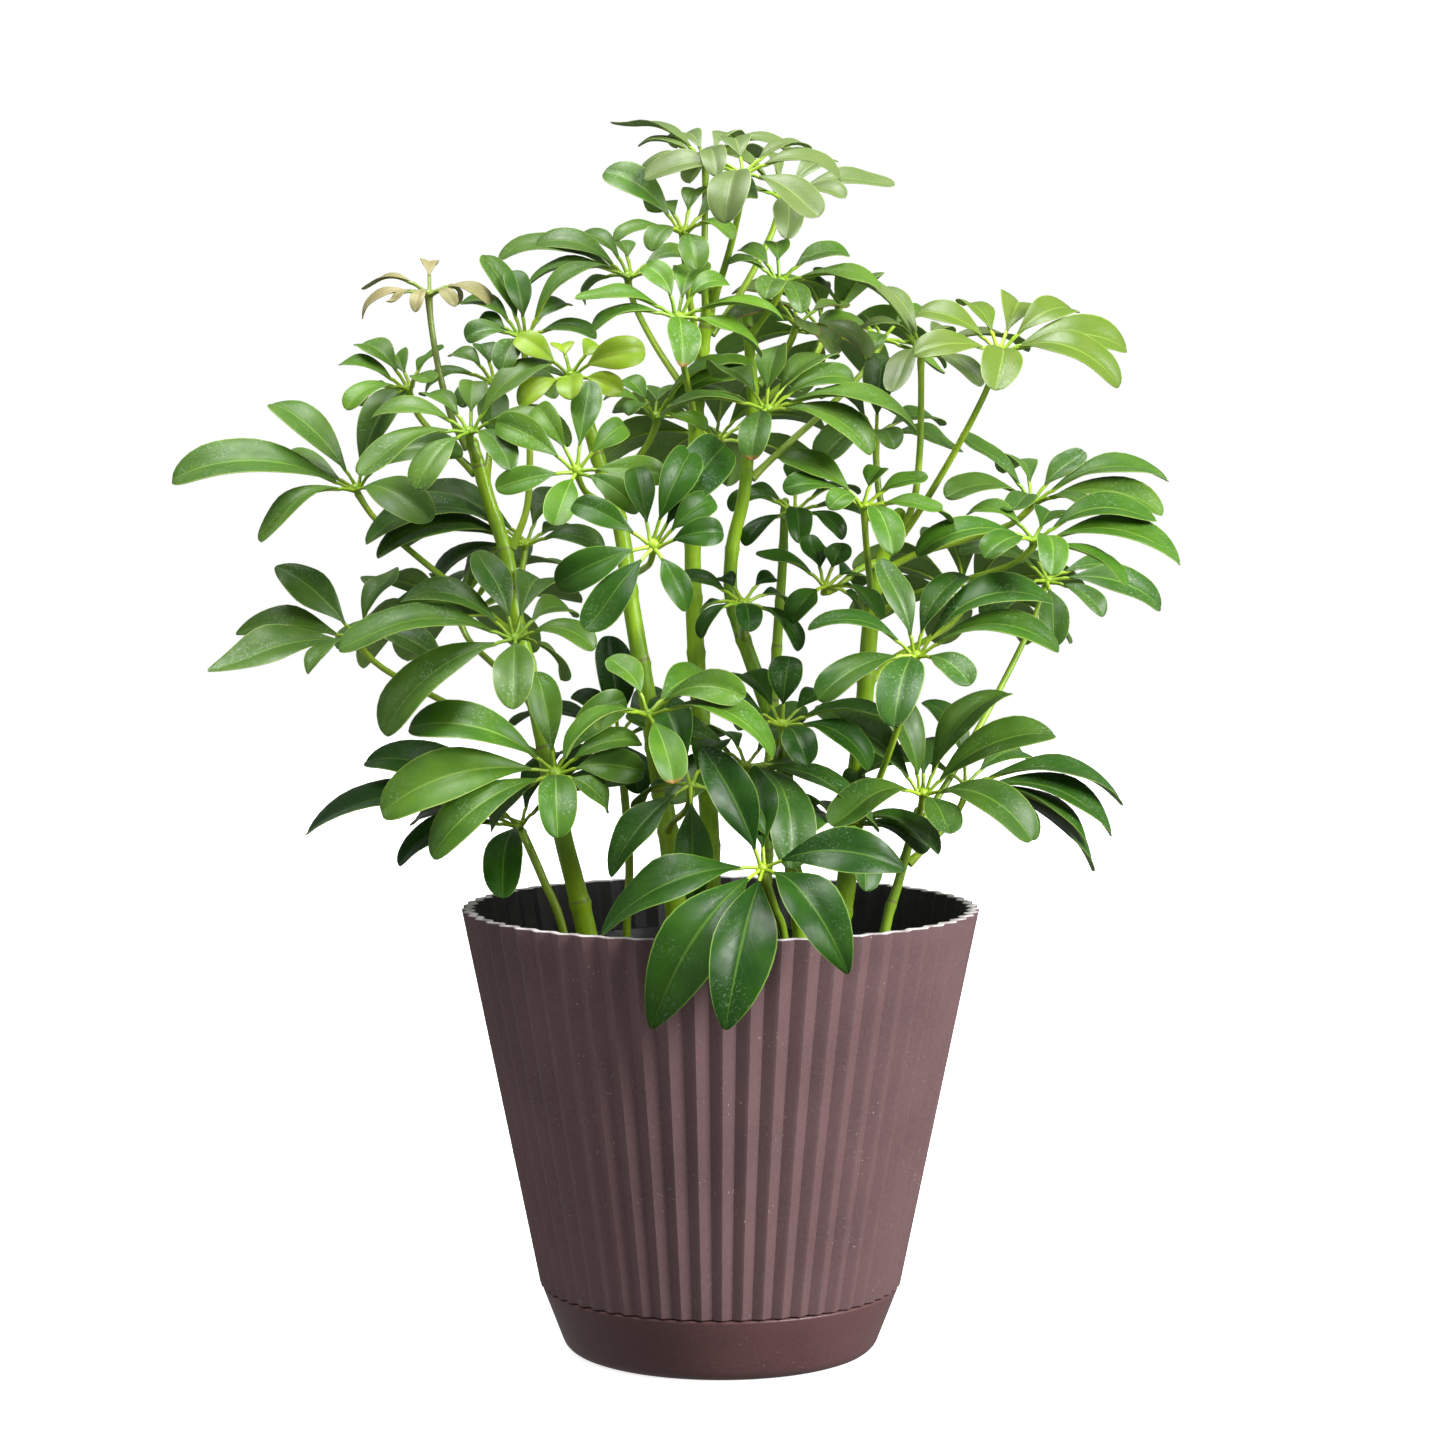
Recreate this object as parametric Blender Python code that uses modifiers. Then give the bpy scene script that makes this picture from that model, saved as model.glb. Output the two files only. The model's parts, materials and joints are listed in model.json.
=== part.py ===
# Potted dwarf umbrella tree: a young plant of several stems in a pleated brown pot.
# Metres, +Z up. The origin is under the middle of the saucer; -Y is the front.
import math
import random

import bmesh
import bpy
from mathutils import Matrix, Vector
from mathutils.bvhtree import BVHTree

MM = 0.001
GAP = 0.3 * MM

# Saucer, outer pot and nursery pot
SAUCER_FOOT_R = 59.3 * MM
SAUCER_KNEE_R = 65.8 * MM
SAUCER_KNEE_Z = 8.0 * MM
SAUCER_TOP_R = 72.9 * MM
SAUCER_TOP_Z = 26.6 * MM
SAUCER_WALL = 2.4 * MM
SAUCER_FLOOR = 3.0 * MM
POT_RIM_R = 105.0 * MM
POT_RIM_Z = 180.9 * MM
POT_FOOT_R = 73.6 * MM
POT_FOOT_Z = SAUCER_TOP_Z + 0.4 * MM
POT_WALL = 3.2 * MM
POT_FLOOR_Z = 9.0 * MM
PLEATS = 58
PLEAT_TURN = math.radians(0.4)
PLEAT_DEPTH_TOP = 2.5 * MM
PLEAT_DEPTH_FOOT = 1.9 * MM
NURSERY_RIM_R = 93.0 * MM
NURSERY_RIM_Z = 161.0 * MM
NURSERY_FOOT_R = 55.0 * MM
NURSERY_WALL = 1.5 * MM
SOIL_Z = 144.0 * MM

# The view that the plant's layout is laid out in: a sight line through (x, 0, z) from the eye
EYE = Vector((0.0, -1.579, 0.3813))

# Leaves
HUB_SIDE = 1.7 * MM
HUB_HEIGHT = 1.8 * MM
PETIOLULE = 6.5 * MM
PETIOLULE_R = 0.75 * MM
PETIOLE_R = 1.3 * MM
BLADE_THICK = 0.75 * MM
BLADE_FOLD = 0.26
BLADE_ARCH = 0.16
MARGIN = 0.35 * MM
SPREAD_FROM_Z = 240
DEPTH_SPREAD = 1.7
BLADE_RINGS = ((0.46, 1.0), (0.85, 0.8))

UP = (0.0, -0.2, 1.0)
LEAN = (0.0, -0.42, 0.91)
FACE = (0.0, -0.72, 0.7)
FRONT = (0.0, -0.92, 0.4)
LEFT = (-0.3, -0.34, 0.89)
OUT_LEFT = (-0.22, -0.6, 0.77)
OUT_RIGHT = (0.2, -0.62, 0.76)
RIGHT = (0.3, -0.34, 0.89)

# Stems in mm: foot radius, top radius, colour, then points (x, z, y) from the soil upwards
STEMS = {
    "stem_centre": (3.9, 2.3, "stem", (
        (-3, 120, 6), (-4, 200, 6), (-6, 235, 6), (-9, 270, 6), (-11, 310, 6), (-11, 340, 6),
        (-10, 371, 5), (-9, 390, 4), (-6, 415, 2), (-3, 430, 0))),
    "stem_centre_left": (4.0, 2.4, "stem", (
        (-14, 120, -14), (-20, 200, -14), (-25, 235, -13), (-29, 262, -12), (-33, 285, -12),
        (-37, 310, -11), (-39, 328, -8), (-43, 345, -4), (-48, 358, 0), (-52, 372, 2), (-57, 388, 4))),
    "stem_left": (4.2, 2.2, "stem", (
        (-46, 120, -6), (-54, 168, -8), (-59, 190, -10), (-64, 210, -12), (-70, 240, -8),
        (-77, 275, -2), (-83, 300, 2), (-86, 322, 4), (-93, 345, 5), (-98, 362, 6), (-100, 369, 6))),
    "stem_centre_right": (3.4, 2.0, "stem", (
        (33, 120, -10), (33, 165, -10), (29, 200, -8), (26, 235, -4), (22, 252, 0), (14, 276, 6),
        (7, 296, 10), (4, 310, 12), (5, 328, 12), (9, 345, 12), (11, 362, 12), (13, 385, 10),
        (12, 402, 8), (10.5, 420, 6))),
    "stem_right": (4.1, 2.6, "stem", (
        (45, 120, 0), (48, 168, 0), (51, 190, 0), (53, 215, 0), (55, 235, 0), (58, 262, 0),
        (60, 290, 0), (62, 310, 0), (65, 322, 0), (70, 331, 0), (72, 340, 0))),
    "shoot_right": (2.2, 1.5, "shoot", (
        (58, 120, -14), (67, 172, -16), (72, 190, -16), (76, 205, -16), (80, 220, -16))),
    "shoot_back": (2.6, 1.6, "shoot", (
        (12, 120, 40), (18, 180, 44), (20, 240, 46), (23, 290, 46), (25, 320, 44), (26, 345, 42))),
}

# Three leaves rise straight from the soil on long petioles: points (x, z, y) from the soil upwards
LONG_PETIOLES = {
    "soil_left": ((-55, 120, -22), (-64, 171, -24), (-72, 192, -24), (-78, 206, -22)),
    "soil_front": ((30, 120, -48), (26, 167, -66), (22, 180, -73), (19, 189, -78)),
    "soil_middle": ((-36, 120, 22), (-38, 168, 22), (-37, 200, 22), (-40, 238, 18)),
}
LONG_PETIOLE_R = 1.8 * MM

# Leaves in mm. Each has the stem it grows from and the height there, its hub (x, z, y), the way its
# upper side faces, a leaflet's full length, a leaflet's width for its length, the finish, the number
# of leaflets, and the tips that show (x, z), with the tip's own y from the hub where it isn't worked out.
LEAVES = (
    ("leaf_front_rosette", "stem_centre_left", 311, (-27, 328, -48), FRONT, 48, 0.36, "deep", 9, (
        (-60, 345, 4), (-67, 311, -6), (-53, 298, -12), (-13, 301, -12), (2, 333, -2), (3, 347, 6),
        (-16, 361, 12), (-34, 359, 14), (7, 368, 26))),
    ("leaf_low_left_front", "stem_left", 216, (-67, 236, -44), FACE, 62, 0.33, "fresh", 10, (
        (-74, 277, 6), (-127, 255, 0), (-138, 219, -6), (-118, 201, -18), (-95, 213, 6),
        (-66, 209, -40), (-44, 220, -10), (-31, 231, -4), (-27, 249, 4), (-38, 266, 10))),
    ("leaf_pot_front", "soil_front", 0, (17, 197, -84), FACE, 68, 0.34, "deep", 7, (
        (-3, 130, -40), (-28, 131, -24), (-50, 170, -6), (76, 196, -8), (-8, 246, 6), (14, 234, 30))),
    ("leaf_low_centre", "stem_centre_left", 214, (-12, 231, -62), LEAN, 56, 0.33, "dark", 7, (
        (-45, 193, -18), (-11, 181, -10), (-34, 218, 20), (8, 212, 8))),
    ("leaf_mid_centre", "stem_centre_left", 248, (-29, 260, -40), LEAN, 52, 0.36, "fresh", 7, (
        (-19, 231, -28), (10, 266, -14), (22, 242, -16), (-44, 280, 12), (-50, 254, 10))),
    ("leaf_right_low_front", "stem_centre_right", 243, (25, 256, -30), LEAN, 48, 0.42, "dark", 8, (
        (28, 283, 6), (7, 253, -14), (35, 239, -26), (72, 254, 0), (61, 237, -10), (47, 268, 20))),
    ("leaf_centre_right_long", "stem_centre_right", 222, (11, 239, -22), RIGHT, 60, 0.34, "deep", 7, (
        (64, 211, -16), (40, 229, 22), (-4, 250, 22))),
    ("leaf_right_inner", "stem_right", 200, (48, 215, -22), RIGHT, 52, 0.4, "deep", 7, (
        (89, 207, -14), (58, 236, 30), (30, 222, 26))),
    ("leaf_left_arch", "stem_left", 281, (-83, 291, -20), LEAN, 62, 0.34, "deep", 9, (
        (-153, 284, -6), (-129, 302, 12), (-137, 251, -14), (-84, 262, -42), (-98, 322, 12),
        (-50, 286, -10), (-58, 300, 20), (-64, 273, 14))),
    ("leaf_left_node", "stem_left", 307, (-79, 329, 8), LEAN, 56, 0.34, "deep", 9, (
        (-150, 331, 0), (-146, 325, 14), (-129, 344, 16), (-133, 317, -10), (-62, 334, 14), (-65, 351, 22),
        (-122, 303, 4), (-104, 304, 12), (-46, 326, -6))),
    ("leaf_left_low", "stem_left", 243, (-147, 290, 4), OUT_LEFT, 56, 0.34, "deep", 7, (
        (-205, 274, -16), (-196, 292, 8), (-168, 277, -30), (-180, 320, 10), (-130, 316, 22))),
    ("leaf_left_high", "stem_left", 292, (-147, 351, 6), OUT_LEFT, 58, 0.34, "deep", 7, (
        (-221, 354, -4), (-184, 328, -20), (-180, 361, 24), (-180, 385, 8), (-129, 391, 14))),
    ("leaf_left_crown", "stem_left", 362, (-101, 374, -14), LEAN, 48, 0.36, "deep", 8, (
        (-141, 379, 0), (-143, 354, -16), (-123, 350, -24), (-84, 358, -28), (-68, 401, 8),
        (-99, 394, 16), (-119, 389, 20))),
    ("leaf_left_back_high", "stem_left", 352, (-91, 394, 16), LEAN, 40, 0.38, "deep", 8, (
        (-109, 405, 8), (-120, 390, 0), (-109, 383, -14), (-92, 409, 12), (-81, 407, 10))),
    ("leaf_left_cluster", "stem_left", 356, (-126, 391, 14), LEFT, 40, 0.38, "fresh", 8, (
        (-156, 391, 0), (-153, 401, 10), (-145, 408, 18), (-151, 383, -20), (-147, 364, 6),
        (-131, 405, 20), (-112, 404, 16), (-111, 391, -22))),
    ("leaf_bronze_young", "stem_left", 366, (-117, 429, 8), LEAN, 34, 0.26, "bronze", 8, (
        (-148, 422, 4), (-144, 431, 14), (-134, 425, -12), (-123, 424, -22), (-107, 427, -16),
        (-101, 428, 10))),
    ("leaf_upper_left", "stem_left", 326, (-84, 412, 2), LEAN, 46, 0.36, "deep", 9, (
        (-88, 438, 8), (-103, 425, 6), (-108, 411, -6), (-50, 441, 6), (-54, 412, -6),
        (-93, 398, -24), (-108, 434, 16), (-104, 441, 18), (-66, 424, 20))),
    ("leaf_yellow_young", "stem_centre_left", 385, (-60, 396, -10), FRONT, 34, 0.42, "yellow", 7, (
        (-82, 411, 4), (-64, 409, 14), (-48, 409, 8), (-86, 379, -10), (-60, 386, -24), (-39, 389, -8))),
    ("leaf_mid_left", "stem_centre_left", 340, (-58, 358, -26), FRONT, 46, 0.34, "fresh", 8, (
        (-91, 377, 4), (-75, 384, 12), (-38, 376, 10), (-95, 350, -6), (-67, 334, -28),
        (-20, 355, -4), (-32, 341, -14))),
    ("leaf_crown_left", "stem_centre", 419, (-6, 481, -2), UP, 44, 0.3, "pale", 7, (
        (-33, 487, 8), (-42, 492, 22), (-34, 475, -10))),
    ("leaf_crown_front", "stem_centre", 426, (9, 477, -16), LEAN, 44, 0.42, "pale", 7, (
        (9, 490, 26), (36, 482, 14), (49, 474, 2), (39, 458, -16), (1, 457, -34))),
    ("leaf_crown_back", "stem_centre", 412, (25, 467, 10), RIGHT, 46, 0.34, "pale", 7, (
        (68, 469, 4), (50, 467, -18), (45, 481, 22), (12, 484, 30))),
    ("leaf_crown_low", "stem_centre", 404, (-15, 454, -14), LEAN, 38, 0.4, "deep", 8, (
        (-42, 477, 8), (-43, 450, -8), (-28, 446, -22), (-9, 470, 20), (19, 462, 8), (5, 450, -16))),
    ("leaf_upper_centre", "stem_centre", 375, (-17, 420, -34), LEAN, 42, 0.4, "fresh", 8, (
        (-57, 424, 0), (-52, 413, -8), (-31, 440, 6), (4, 434, 4), (26, 419, -2), (17, 403, -10),
        (-15, 399, -28))),
    ("leaf_upper_back", "stem_centre", 386, (-37, 436, 18), LEAN, 42, 0.36, "deep", 8, (
        (-74, 444, 0), (-58, 451, 14), (-90, 439, 6), (-77, 433, -14), (-41, 449, 16), (-56, 424, 10))),
    ("leaf_upper_right", "stem_centre_right", 412, (24, 434, -10), LEAN, 38, 0.4, "deep", 8, (
        (3, 447, 6), (3, 442, -6), (22, 449, 14), (52, 445, 8), (65, 431, -4), (18, 427, -28),
        (33, 421, -22), (47, 424, 14))),
    ("leaf_red_edge", "stem_centre_right", 392, (31, 417, 8), RIGHT, 36, 0.38, "red_edge", 7, (
        (46, 404, -22), (61, 403, -12), (34, 410, -30), (50, 422, 14))),
    ("leaf_behind_right", "stem_centre_right", 354, (65, 411, 24), RIGHT, 38, 0.36, "deep", 7, (
        (42, 419, 8), (58, 418, 18), (83, 421, 14), (60, 406, -22))),
    ("leaf_pale_right", "stem_right", 333, (80.5, 405, -4), LEAN, 48, 0.28, "pale", 7, (
        (37, 432, 0), (62, 432, 16), (56, 416, -12), (92, 412, 26))),
    ("leaf_bright_right", "stem_right", 326, (117, 406, -20), OUT_RIGHT, 54, 0.38, "bright", 8, (
        (83, 421, 6), (82, 405, -14), (102, 424, 22), (147, 422, 18), (173, 407, 2), (165, 391, -16),
        (115, 388, -38))),
    ("leaf_small_centre", "stem_centre_left", 352, (-26, 380, -14), LEAN, 36, 0.4, "fresh", 8, (
        (-48, 387, 0), (-39, 396, 8), (13, 389, -4), (-1, 379, -14), (10, 396, 10), (11, 383, 6),
        (-38, 381, -18))),
    ("leaf_centre_right_front", "stem_centre_right", 366, (19, 383, -28), LEAN, 50, 0.38, "deep", 8, (
        (23, 409, 8), (12, 362, -30), (54, 394, 10), (80, 374, -4), (61, 364, -14), (46, 399, 22))),
    ("leaf_upright_right", "stem_right", 336, (62.5, 373, 2), LEAN, 40, 0.42, "deep", 7, (
        (65, 404, 6), (70, 367, -26), (95, 363, 6), (38, 368, 8))),
    ("leaf_right_front", "stem_right", 304, (58, 344, -32), LEAN, 40, 0.38, "fresh", 8, (
        (24, 358, 6), (25, 350, -4), (44, 343, -18), (65, 360, 8), (83, 354, 4), (89, 341, -8),
        (99, 342, 6))),
    ("leaf_far_right_high", "stem_right", 318, (126, 346, -2), RIGHT, 50, 0.34, "deep", 8, (
        (146, 364, 10), (180, 349, 6), (179, 341, -10), (152, 338, -22), (96, 369, 4), (116, 338, -34))),
    ("leaf_far_right_mid", "stem_right", 300, (127, 330, -26), RIGHT, 54, 0.36, "fresh", 8, (
        (175, 337, 8), (185.5, 320, 2), (164, 311, -14), (106, 323, -20), (134, 316, -34), (99, 341, 14))),
    ("leaf_far_right_low", "shoot_right", 214, (132, 314, 14), OUT_RIGHT, 46, 0.34, "deep", 7, (
        (155, 299, -14), (178, 302, 4), (121, 322, 18), (168, 317, 16))),
    ("leaf_right_middle", "stem_right", 208, (79, 284, -36), LEAN, 58, 0.34, "deep", 8, (
        (63, 319, 8), (99, 316, 10), (135, 306, 4), (137, 285, -6), (101, 271, -24), (35, 294, -2),
        (39, 265, -14))),
    ("leaf_right_low", "shoot_right", 216, (82, 228, -28), LEAN, 56, 0.4, "deep", 8, (
        (116, 269, 12), (135, 252, 4), (62, 268, 4), (93, 210, -26), (40, 259, 20))),
    ("leaf_right_low_arch", "shoot_right", 200, (101, 231, -6), RIGHT, 58, 0.34, "deep", 8, (
        (128, 208, -22), (144, 198, -12), (152, 196, 12), (155, 206, 2), (163, 214, 14), (124, 241, 34))),
    ("leaf_low_left_back", "soil_left", 0, (-82, 215, -12), LEFT, 66, 0.3, "dark", 7, (
        (-168, 211, 12), (-144, 241, 20), (-132, 203, -2), (-126, 216, 30))),
    ("leaf_middle_back_left", "soil_middle", 0, (-42, 250, 14), LEAN, 46, 0.42, "dark", 7, (
        (-46, 290, 0), (-84, 256, 18), (-18, 268, 24), (-60, 268, -2))),
    ("leaf_small_whorl", "stem_centre_right", 290, (9, 305, -14), LEAN, 34, 0.36, "dark", 8, (
        (33, 285, -10), (18, 314, 10), (-9, 300, 2), (27, 304, 14), (4, 315, 14), (-9, 290, -14))),
    ("leaf_centre_broad", "stem_right", 320, (43, 312, -14), RIGHT, 34, 0.5, "dark", 7, (
        (28, 296, -16), (44, 327, 6), (35, 328, 14), (50, 300, 10))),
    ("leaf_shoot_back_top", "shoot_back", 338, (30, 342, 18), LEAN, 42, 0.34, "dark", 8, (
        (9, 328, -16), (3, 342, 2), (50, 330, -12), (56, 350, 14), (30, 360, 22))),
)

# Leaves where the front view doesn't reach, in the same form, worked out by a rule: stem, height there,
# compass turn in degrees with 90 at the back, reach from the stem, rise, length and number of leaflets
BACK_LEAVES = (
    ("leaf_back_1", "stem_left", 262, 118, 76, 34, 62, 9),
    ("leaf_back_2", "stem_centre", 330, 84, 88, 40, 60, 9),
    ("leaf_back_3", "stem_right", 272, 58, 84, 30, 62, 9),
    ("leaf_back_4", "stem_centre_right", 380, 62, 66, 34, 56, 9),
)


def sight(x, z, y):
    """The point at depth y on the sight line through (x, 0, z), all in mm."""
    flat = Vector((x * MM, 0.0, z * MM))
    return EYE + (flat - EYE) * (1.0 + y * MM / -EYE.y)


def material(name, colour, rough):
    mat = bpy.data.materials.new(name)
    mat.use_nodes = True
    shader = mat.node_tree.nodes["Principled BSDF"]
    shader.inputs["Base Color"].default_value = (*colour, 1.0)
    shader.inputs["Roughness"].default_value = rough
    return mat


def add_object(name, mesh, mat):
    obj = bpy.data.objects.new(name, mesh)
    collection.objects.link(obj)
    mesh.materials.clear()
    mesh.materials.append(mat)
    return obj


def turned(name, profile, sides, mat):
    """A closed turned shape from an outline (radius, height), outer side first, top to bottom."""
    mesh = bpy.data.meshes.new(name)
    mesh.from_pydata([(r, 0.0, z) for r, z in profile], [(k, k + 1) for k in range(len(profile) - 1)], [])
    obj = add_object(name, mesh, mat)
    screw = obj.modifiers.new("turn", "SCREW")
    screw.steps = sides
    screw.render_steps = sides
    screw.use_merge_vertices = True
    screw.merge_threshold = 0.00001
    return obj


def make_saucer():
    rise = SAUCER_TOP_Z - SAUCER_KNEE_Z
    slope = (SAUCER_TOP_R - SAUCER_KNEE_R) / rise
    inner_low = SAUCER_TOP_R - SAUCER_WALL - slope * (SAUCER_TOP_Z - SAUCER_FLOOR - 2.0 * MM)
    profile = [(0.0, SAUCER_FLOOR), (inner_low - 2.0 * MM, SAUCER_FLOOR),
               (inner_low, SAUCER_FLOOR + 2.0 * MM), (SAUCER_TOP_R - SAUCER_WALL, SAUCER_TOP_Z),
               (SAUCER_TOP_R, SAUCER_TOP_Z), (SAUCER_KNEE_R, SAUCER_KNEE_Z)]
    for step in (0.35, 0.7):
        turn = step * math.pi / 2.0
        profile.append((SAUCER_FOOT_R + (SAUCER_KNEE_R - SAUCER_FOOT_R) * math.cos(turn),
                        SAUCER_KNEE_Z * (1.0 - math.sin(turn))))
    profile += [(SAUCER_FOOT_R, 0.0), (0.0, 0.0)]
    return turned("saucer", profile, 60, saucer_plastic)


def pleat_ring(radius, depth, z):
    """Ridges and valleys in turn round the pot; depth 0 gives a plain round."""
    ring = []
    for k in range(PLEATS * 2):
        turn = PLEAT_TURN + math.pi * k / PLEATS
        r = radius - (depth if k % 2 else 0.0)
        ring.append(Vector((r * math.sin(turn), -r * math.cos(turn), z)))
    return ring


def make_pot():
    plug_top = SAUCER_TOP_R - SAUCER_WALL - 0.5 * MM
    plug_low = plug_top - 10.5 * MM
    rings = (
        pleat_ring(plug_low, 0.0, SAUCER_FLOOR + GAP),
        pleat_ring(plug_top, 0.0, POT_FOOT_Z),
        pleat_ring(POT_FOOT_R, PLEAT_DEPTH_FOOT, POT_FOOT_Z),
        pleat_ring(POT_RIM_R, PLEAT_DEPTH_TOP, POT_RIM_Z),
        pleat_ring(POT_RIM_R - POT_WALL, PLEAT_DEPTH_TOP, POT_RIM_Z),
        pleat_ring(POT_FOOT_R - POT_WALL - 2.0 * MM, 0.0, POT_FOOT_Z),
        pleat_ring(plug_low - POT_WALL, 0.0, POT_FLOOR_Z),
    )
    bm = bmesh.new()
    loops = [[bm.verts.new(point) for point in ring] for ring in rings]
    count = PLEATS * 2
    for low, high in zip(loops, loops[1:]):
        for k in range(count):
            nxt = (k + 1) % count
            bm.faces.new((low[k], low[nxt], high[nxt], high[k]))
    bm.faces.new(loops[0])
    bm.faces.new(loops[-1])
    return from_bmesh("pot", bm, pot_plastic)


def from_bmesh(name, bm, mat):
    bmesh.ops.triangulate(bm, faces=bm.faces[:])
    bmesh.ops.recalc_face_normals(bm, faces=bm.faces[:])
    mesh = bpy.data.meshes.new(name)
    bm.to_mesh(mesh)
    bm.free()
    return add_object(name, mesh, mat)


def make_nursery_pot():
    foot_z = POT_FLOOR_Z + GAP
    lip_z = NURSERY_RIM_Z - 5.0 * MM
    body_r = NURSERY_RIM_R - 2.5 * MM
    floor_z = foot_z + NURSERY_WALL
    profile = [(0.0, floor_z), (NURSERY_FOOT_R - NURSERY_WALL, floor_z),
               (body_r - NURSERY_WALL, NURSERY_RIM_Z), (NURSERY_RIM_R, NURSERY_RIM_Z),
               (NURSERY_RIM_R, lip_z), (body_r, lip_z), (NURSERY_FOOT_R, foot_z), (0.0, foot_z)]
    return turned("nursery_pot", profile, 40, black_plastic)


def make_soil(stems):
    low = POT_FLOOR_Z + GAP + NURSERY_WALL + GAP
    high_r = NURSERY_RIM_R - 2.5 * MM - NURSERY_WALL
    slope = (high_r - (NURSERY_FOOT_R - NURSERY_WALL)) / (NURSERY_RIM_Z - low)
    side = 0.6 * MM
    profile = [(0.0, SOIL_Z), (high_r - slope * (NURSERY_RIM_Z - SOIL_Z) - side, SOIL_Z),
               (NURSERY_FOOT_R - NURSERY_WALL - side, low), (0.0, low)]
    soil = turned("soil", profile, 40, soil_mix)
    for name, points in stems.items():
        foot_r = STEMS[name][0] * MM if name in STEMS else LONG_PETIOLE_R
        down = (points[0] - points[1]).normalized() * (1.5 * GAP)
        cutter = tube_object("hole_" + name, [points[0] + down, points[1] - down],
                             [foot_r + 1.5 * GAP] * 2, soil_mix, cutters)
        cutter = mesh_from_curve(cutter)
        cutter.hide_render = True
        cutter.display_type = "WIRE"
        cut = soil.modifiers.new("hole", "BOOLEAN")
        cut.operation = "DIFFERENCE"
        cut.object = cutter
    return soil


def tube_object(name, points, radii, mat, target):
    curve = bpy.data.curves.new(name, "CURVE")
    curve.dimensions = "3D"
    curve.bevel_depth = 1.0
    curve.bevel_resolution = 1
    curve.use_fill_caps = True
    spline = curve.splines.new("POLY")
    spline.points.add(len(points) - 1)
    for slot, point, radius in zip(spline.points, points, radii):
        slot.co = (*point, 1.0)
        slot.radius = radius
    obj = bpy.data.objects.new(name, curve)
    target.objects.link(obj)
    curve.materials.append(mat)
    return obj


def mesh_from_curve(obj):
    """Swap a bevelled curve for its closed mesh."""
    depsgraph = bpy.context.evaluated_depsgraph_get()
    mesh = bpy.data.meshes.new_from_object(obj.evaluated_get(depsgraph))
    bm = bmesh.new()
    bm.from_mesh(mesh)
    bmesh.ops.remove_doubles(bm, verts=bm.verts[:], dist=0.00001)
    bmesh.ops.triangulate(bm, faces=bm.faces[:])
    bmesh.ops.recalc_face_normals(bm, faces=bm.faces[:])
    bm.to_mesh(mesh)
    bm.free()
    old = obj.data
    name = obj.name
    mat = old.materials[0]
    target = obj.users_collection[0]
    bpy.data.objects.remove(obj)
    bpy.data.curves.remove(old)
    new = bpy.data.objects.new(name, mesh)
    mesh.materials.clear()
    mesh.materials.append(mat)
    target.objects.link(new)
    return new


def leaf_frame(direction, facing):
    """Side and upper directions of a blade that runs along direction."""
    side = facing.cross(direction)
    if side.length < 0.05:
        side = Vector((1.0, 0.0, 0.0)).cross(direction)
    side.normalize()
    return side, direction.cross(side).normalized()


def blade_rings(start, tip, facing, shape, roll, arch):
    """Four-cornered rings along a leaflet: end of the petiolule, then the blade. The tip comes last."""
    span = tip - start
    side, upper = leaf_frame(span.normalized(), facing)
    lift = upper * (arch * span.length)

    def middle(t):
        return start + span * t + lift * (4.0 * t * (1.0 - t))

    first = PETIOLULE / max(span.length, 2.0 * PETIOLULE)
    rings = []
    for t, width, thick, fold in [(first, PETIOLULE_R, PETIOLULE_R, 0.0)] + [
            (first + (1.0 - first) * u, shape * w / 2.0, BLADE_THICK, BLADE_FOLD) for u, w in BLADE_RINGS]:
        along = (middle(t + 0.01) - middle(t - 0.01)).normalized()
        side, upper = leaf_frame(along, facing)
        turn = Matrix.Rotation(roll, 3, along)
        side = turn @ side
        upper = turn @ upper
        centre = middle(t)
        rings.append([centre - side * width + upper * (fold * width), centre - upper * thick,
                      centre + side * width + upper * (fold * width), centre + upper * thick])
    return rings, tip


def rings_mesh(rings, tip, grow):
    """Vertices and triangles of a leaflet's blade alone, swollen by grow, for the clearance test."""
    points = []
    for ring in rings:
        centre = sum(ring, Vector()) / len(ring)
        points += [p + (p - centre).normalized() * grow for p in ring]
    points.append(tip + (tip - rings[-1][1]).normalized() * grow)
    faces = []
    sides = len(rings[0])
    for r in range(len(rings) - 1):
        for k in range(sides):
            a = r * sides + k
            b = r * sides + (k + 1) % sides
            faces += [(a, b, b + sides), (a, b + sides, a + sides)]
    last = (len(rings) - 1) * sides
    for k in range(sides):
        faces.append((last + k, last + (k + 1) % sides, len(points) - 1))
    return points, faces


def tube_rings(points, radii, sides, end_way=None):
    """Rings of a tube along points. The last ring's face can be turned to end_way."""
    rings = []
    for k, point in enumerate(points):
        before = points[max(k - 1, 0)]
        after = points[min(k + 1, len(points) - 1)]
        along = (after - before).normalized()
        if end_way is not None and k == len(points) - 1:
            along = end_way
        across = along.cross(Vector((0.3, 1.0, 0.2))).normalized()
        other = along.cross(across)
        ring = []
        for s in range(sides):
            turn = 2.0 * math.pi * s / sides
            ring.append(point + (across * math.cos(turn) + other * math.sin(turn)) * radii[k])
        rings.append(ring)
    return rings


class Placed:
    """What already stands, as search trees with their boxes, to keep new growth clear of it."""

    def __init__(self):
        self.items = []

    def add(self, owner, points, faces):
        tree = BVHTree.FromPolygons(points, faces)
        low = Vector([min(p[i] for p in points) for i in range(3)])
        high = Vector([max(p[i] for p in points) for i in range(3)])
        self.items.append((owner, tree, low, high))

    def clear(self, points, faces, skip=()):
        low = Vector([min(p[i] for p in points) for i in range(3)])
        high = Vector([max(p[i] for p in points) for i in range(3)])
        tree = None
        for owner, other, other_low, other_high in self.items:
            if owner in skip:
                continue
            if any(low[i] > other_high[i] or high[i] < other_low[i] for i in range(3)):
                continue
            if tree is None:
                tree = BVHTree.FromPolygons(points, faces)
            if tree.overlap(other):
                return False
        return True


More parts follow.
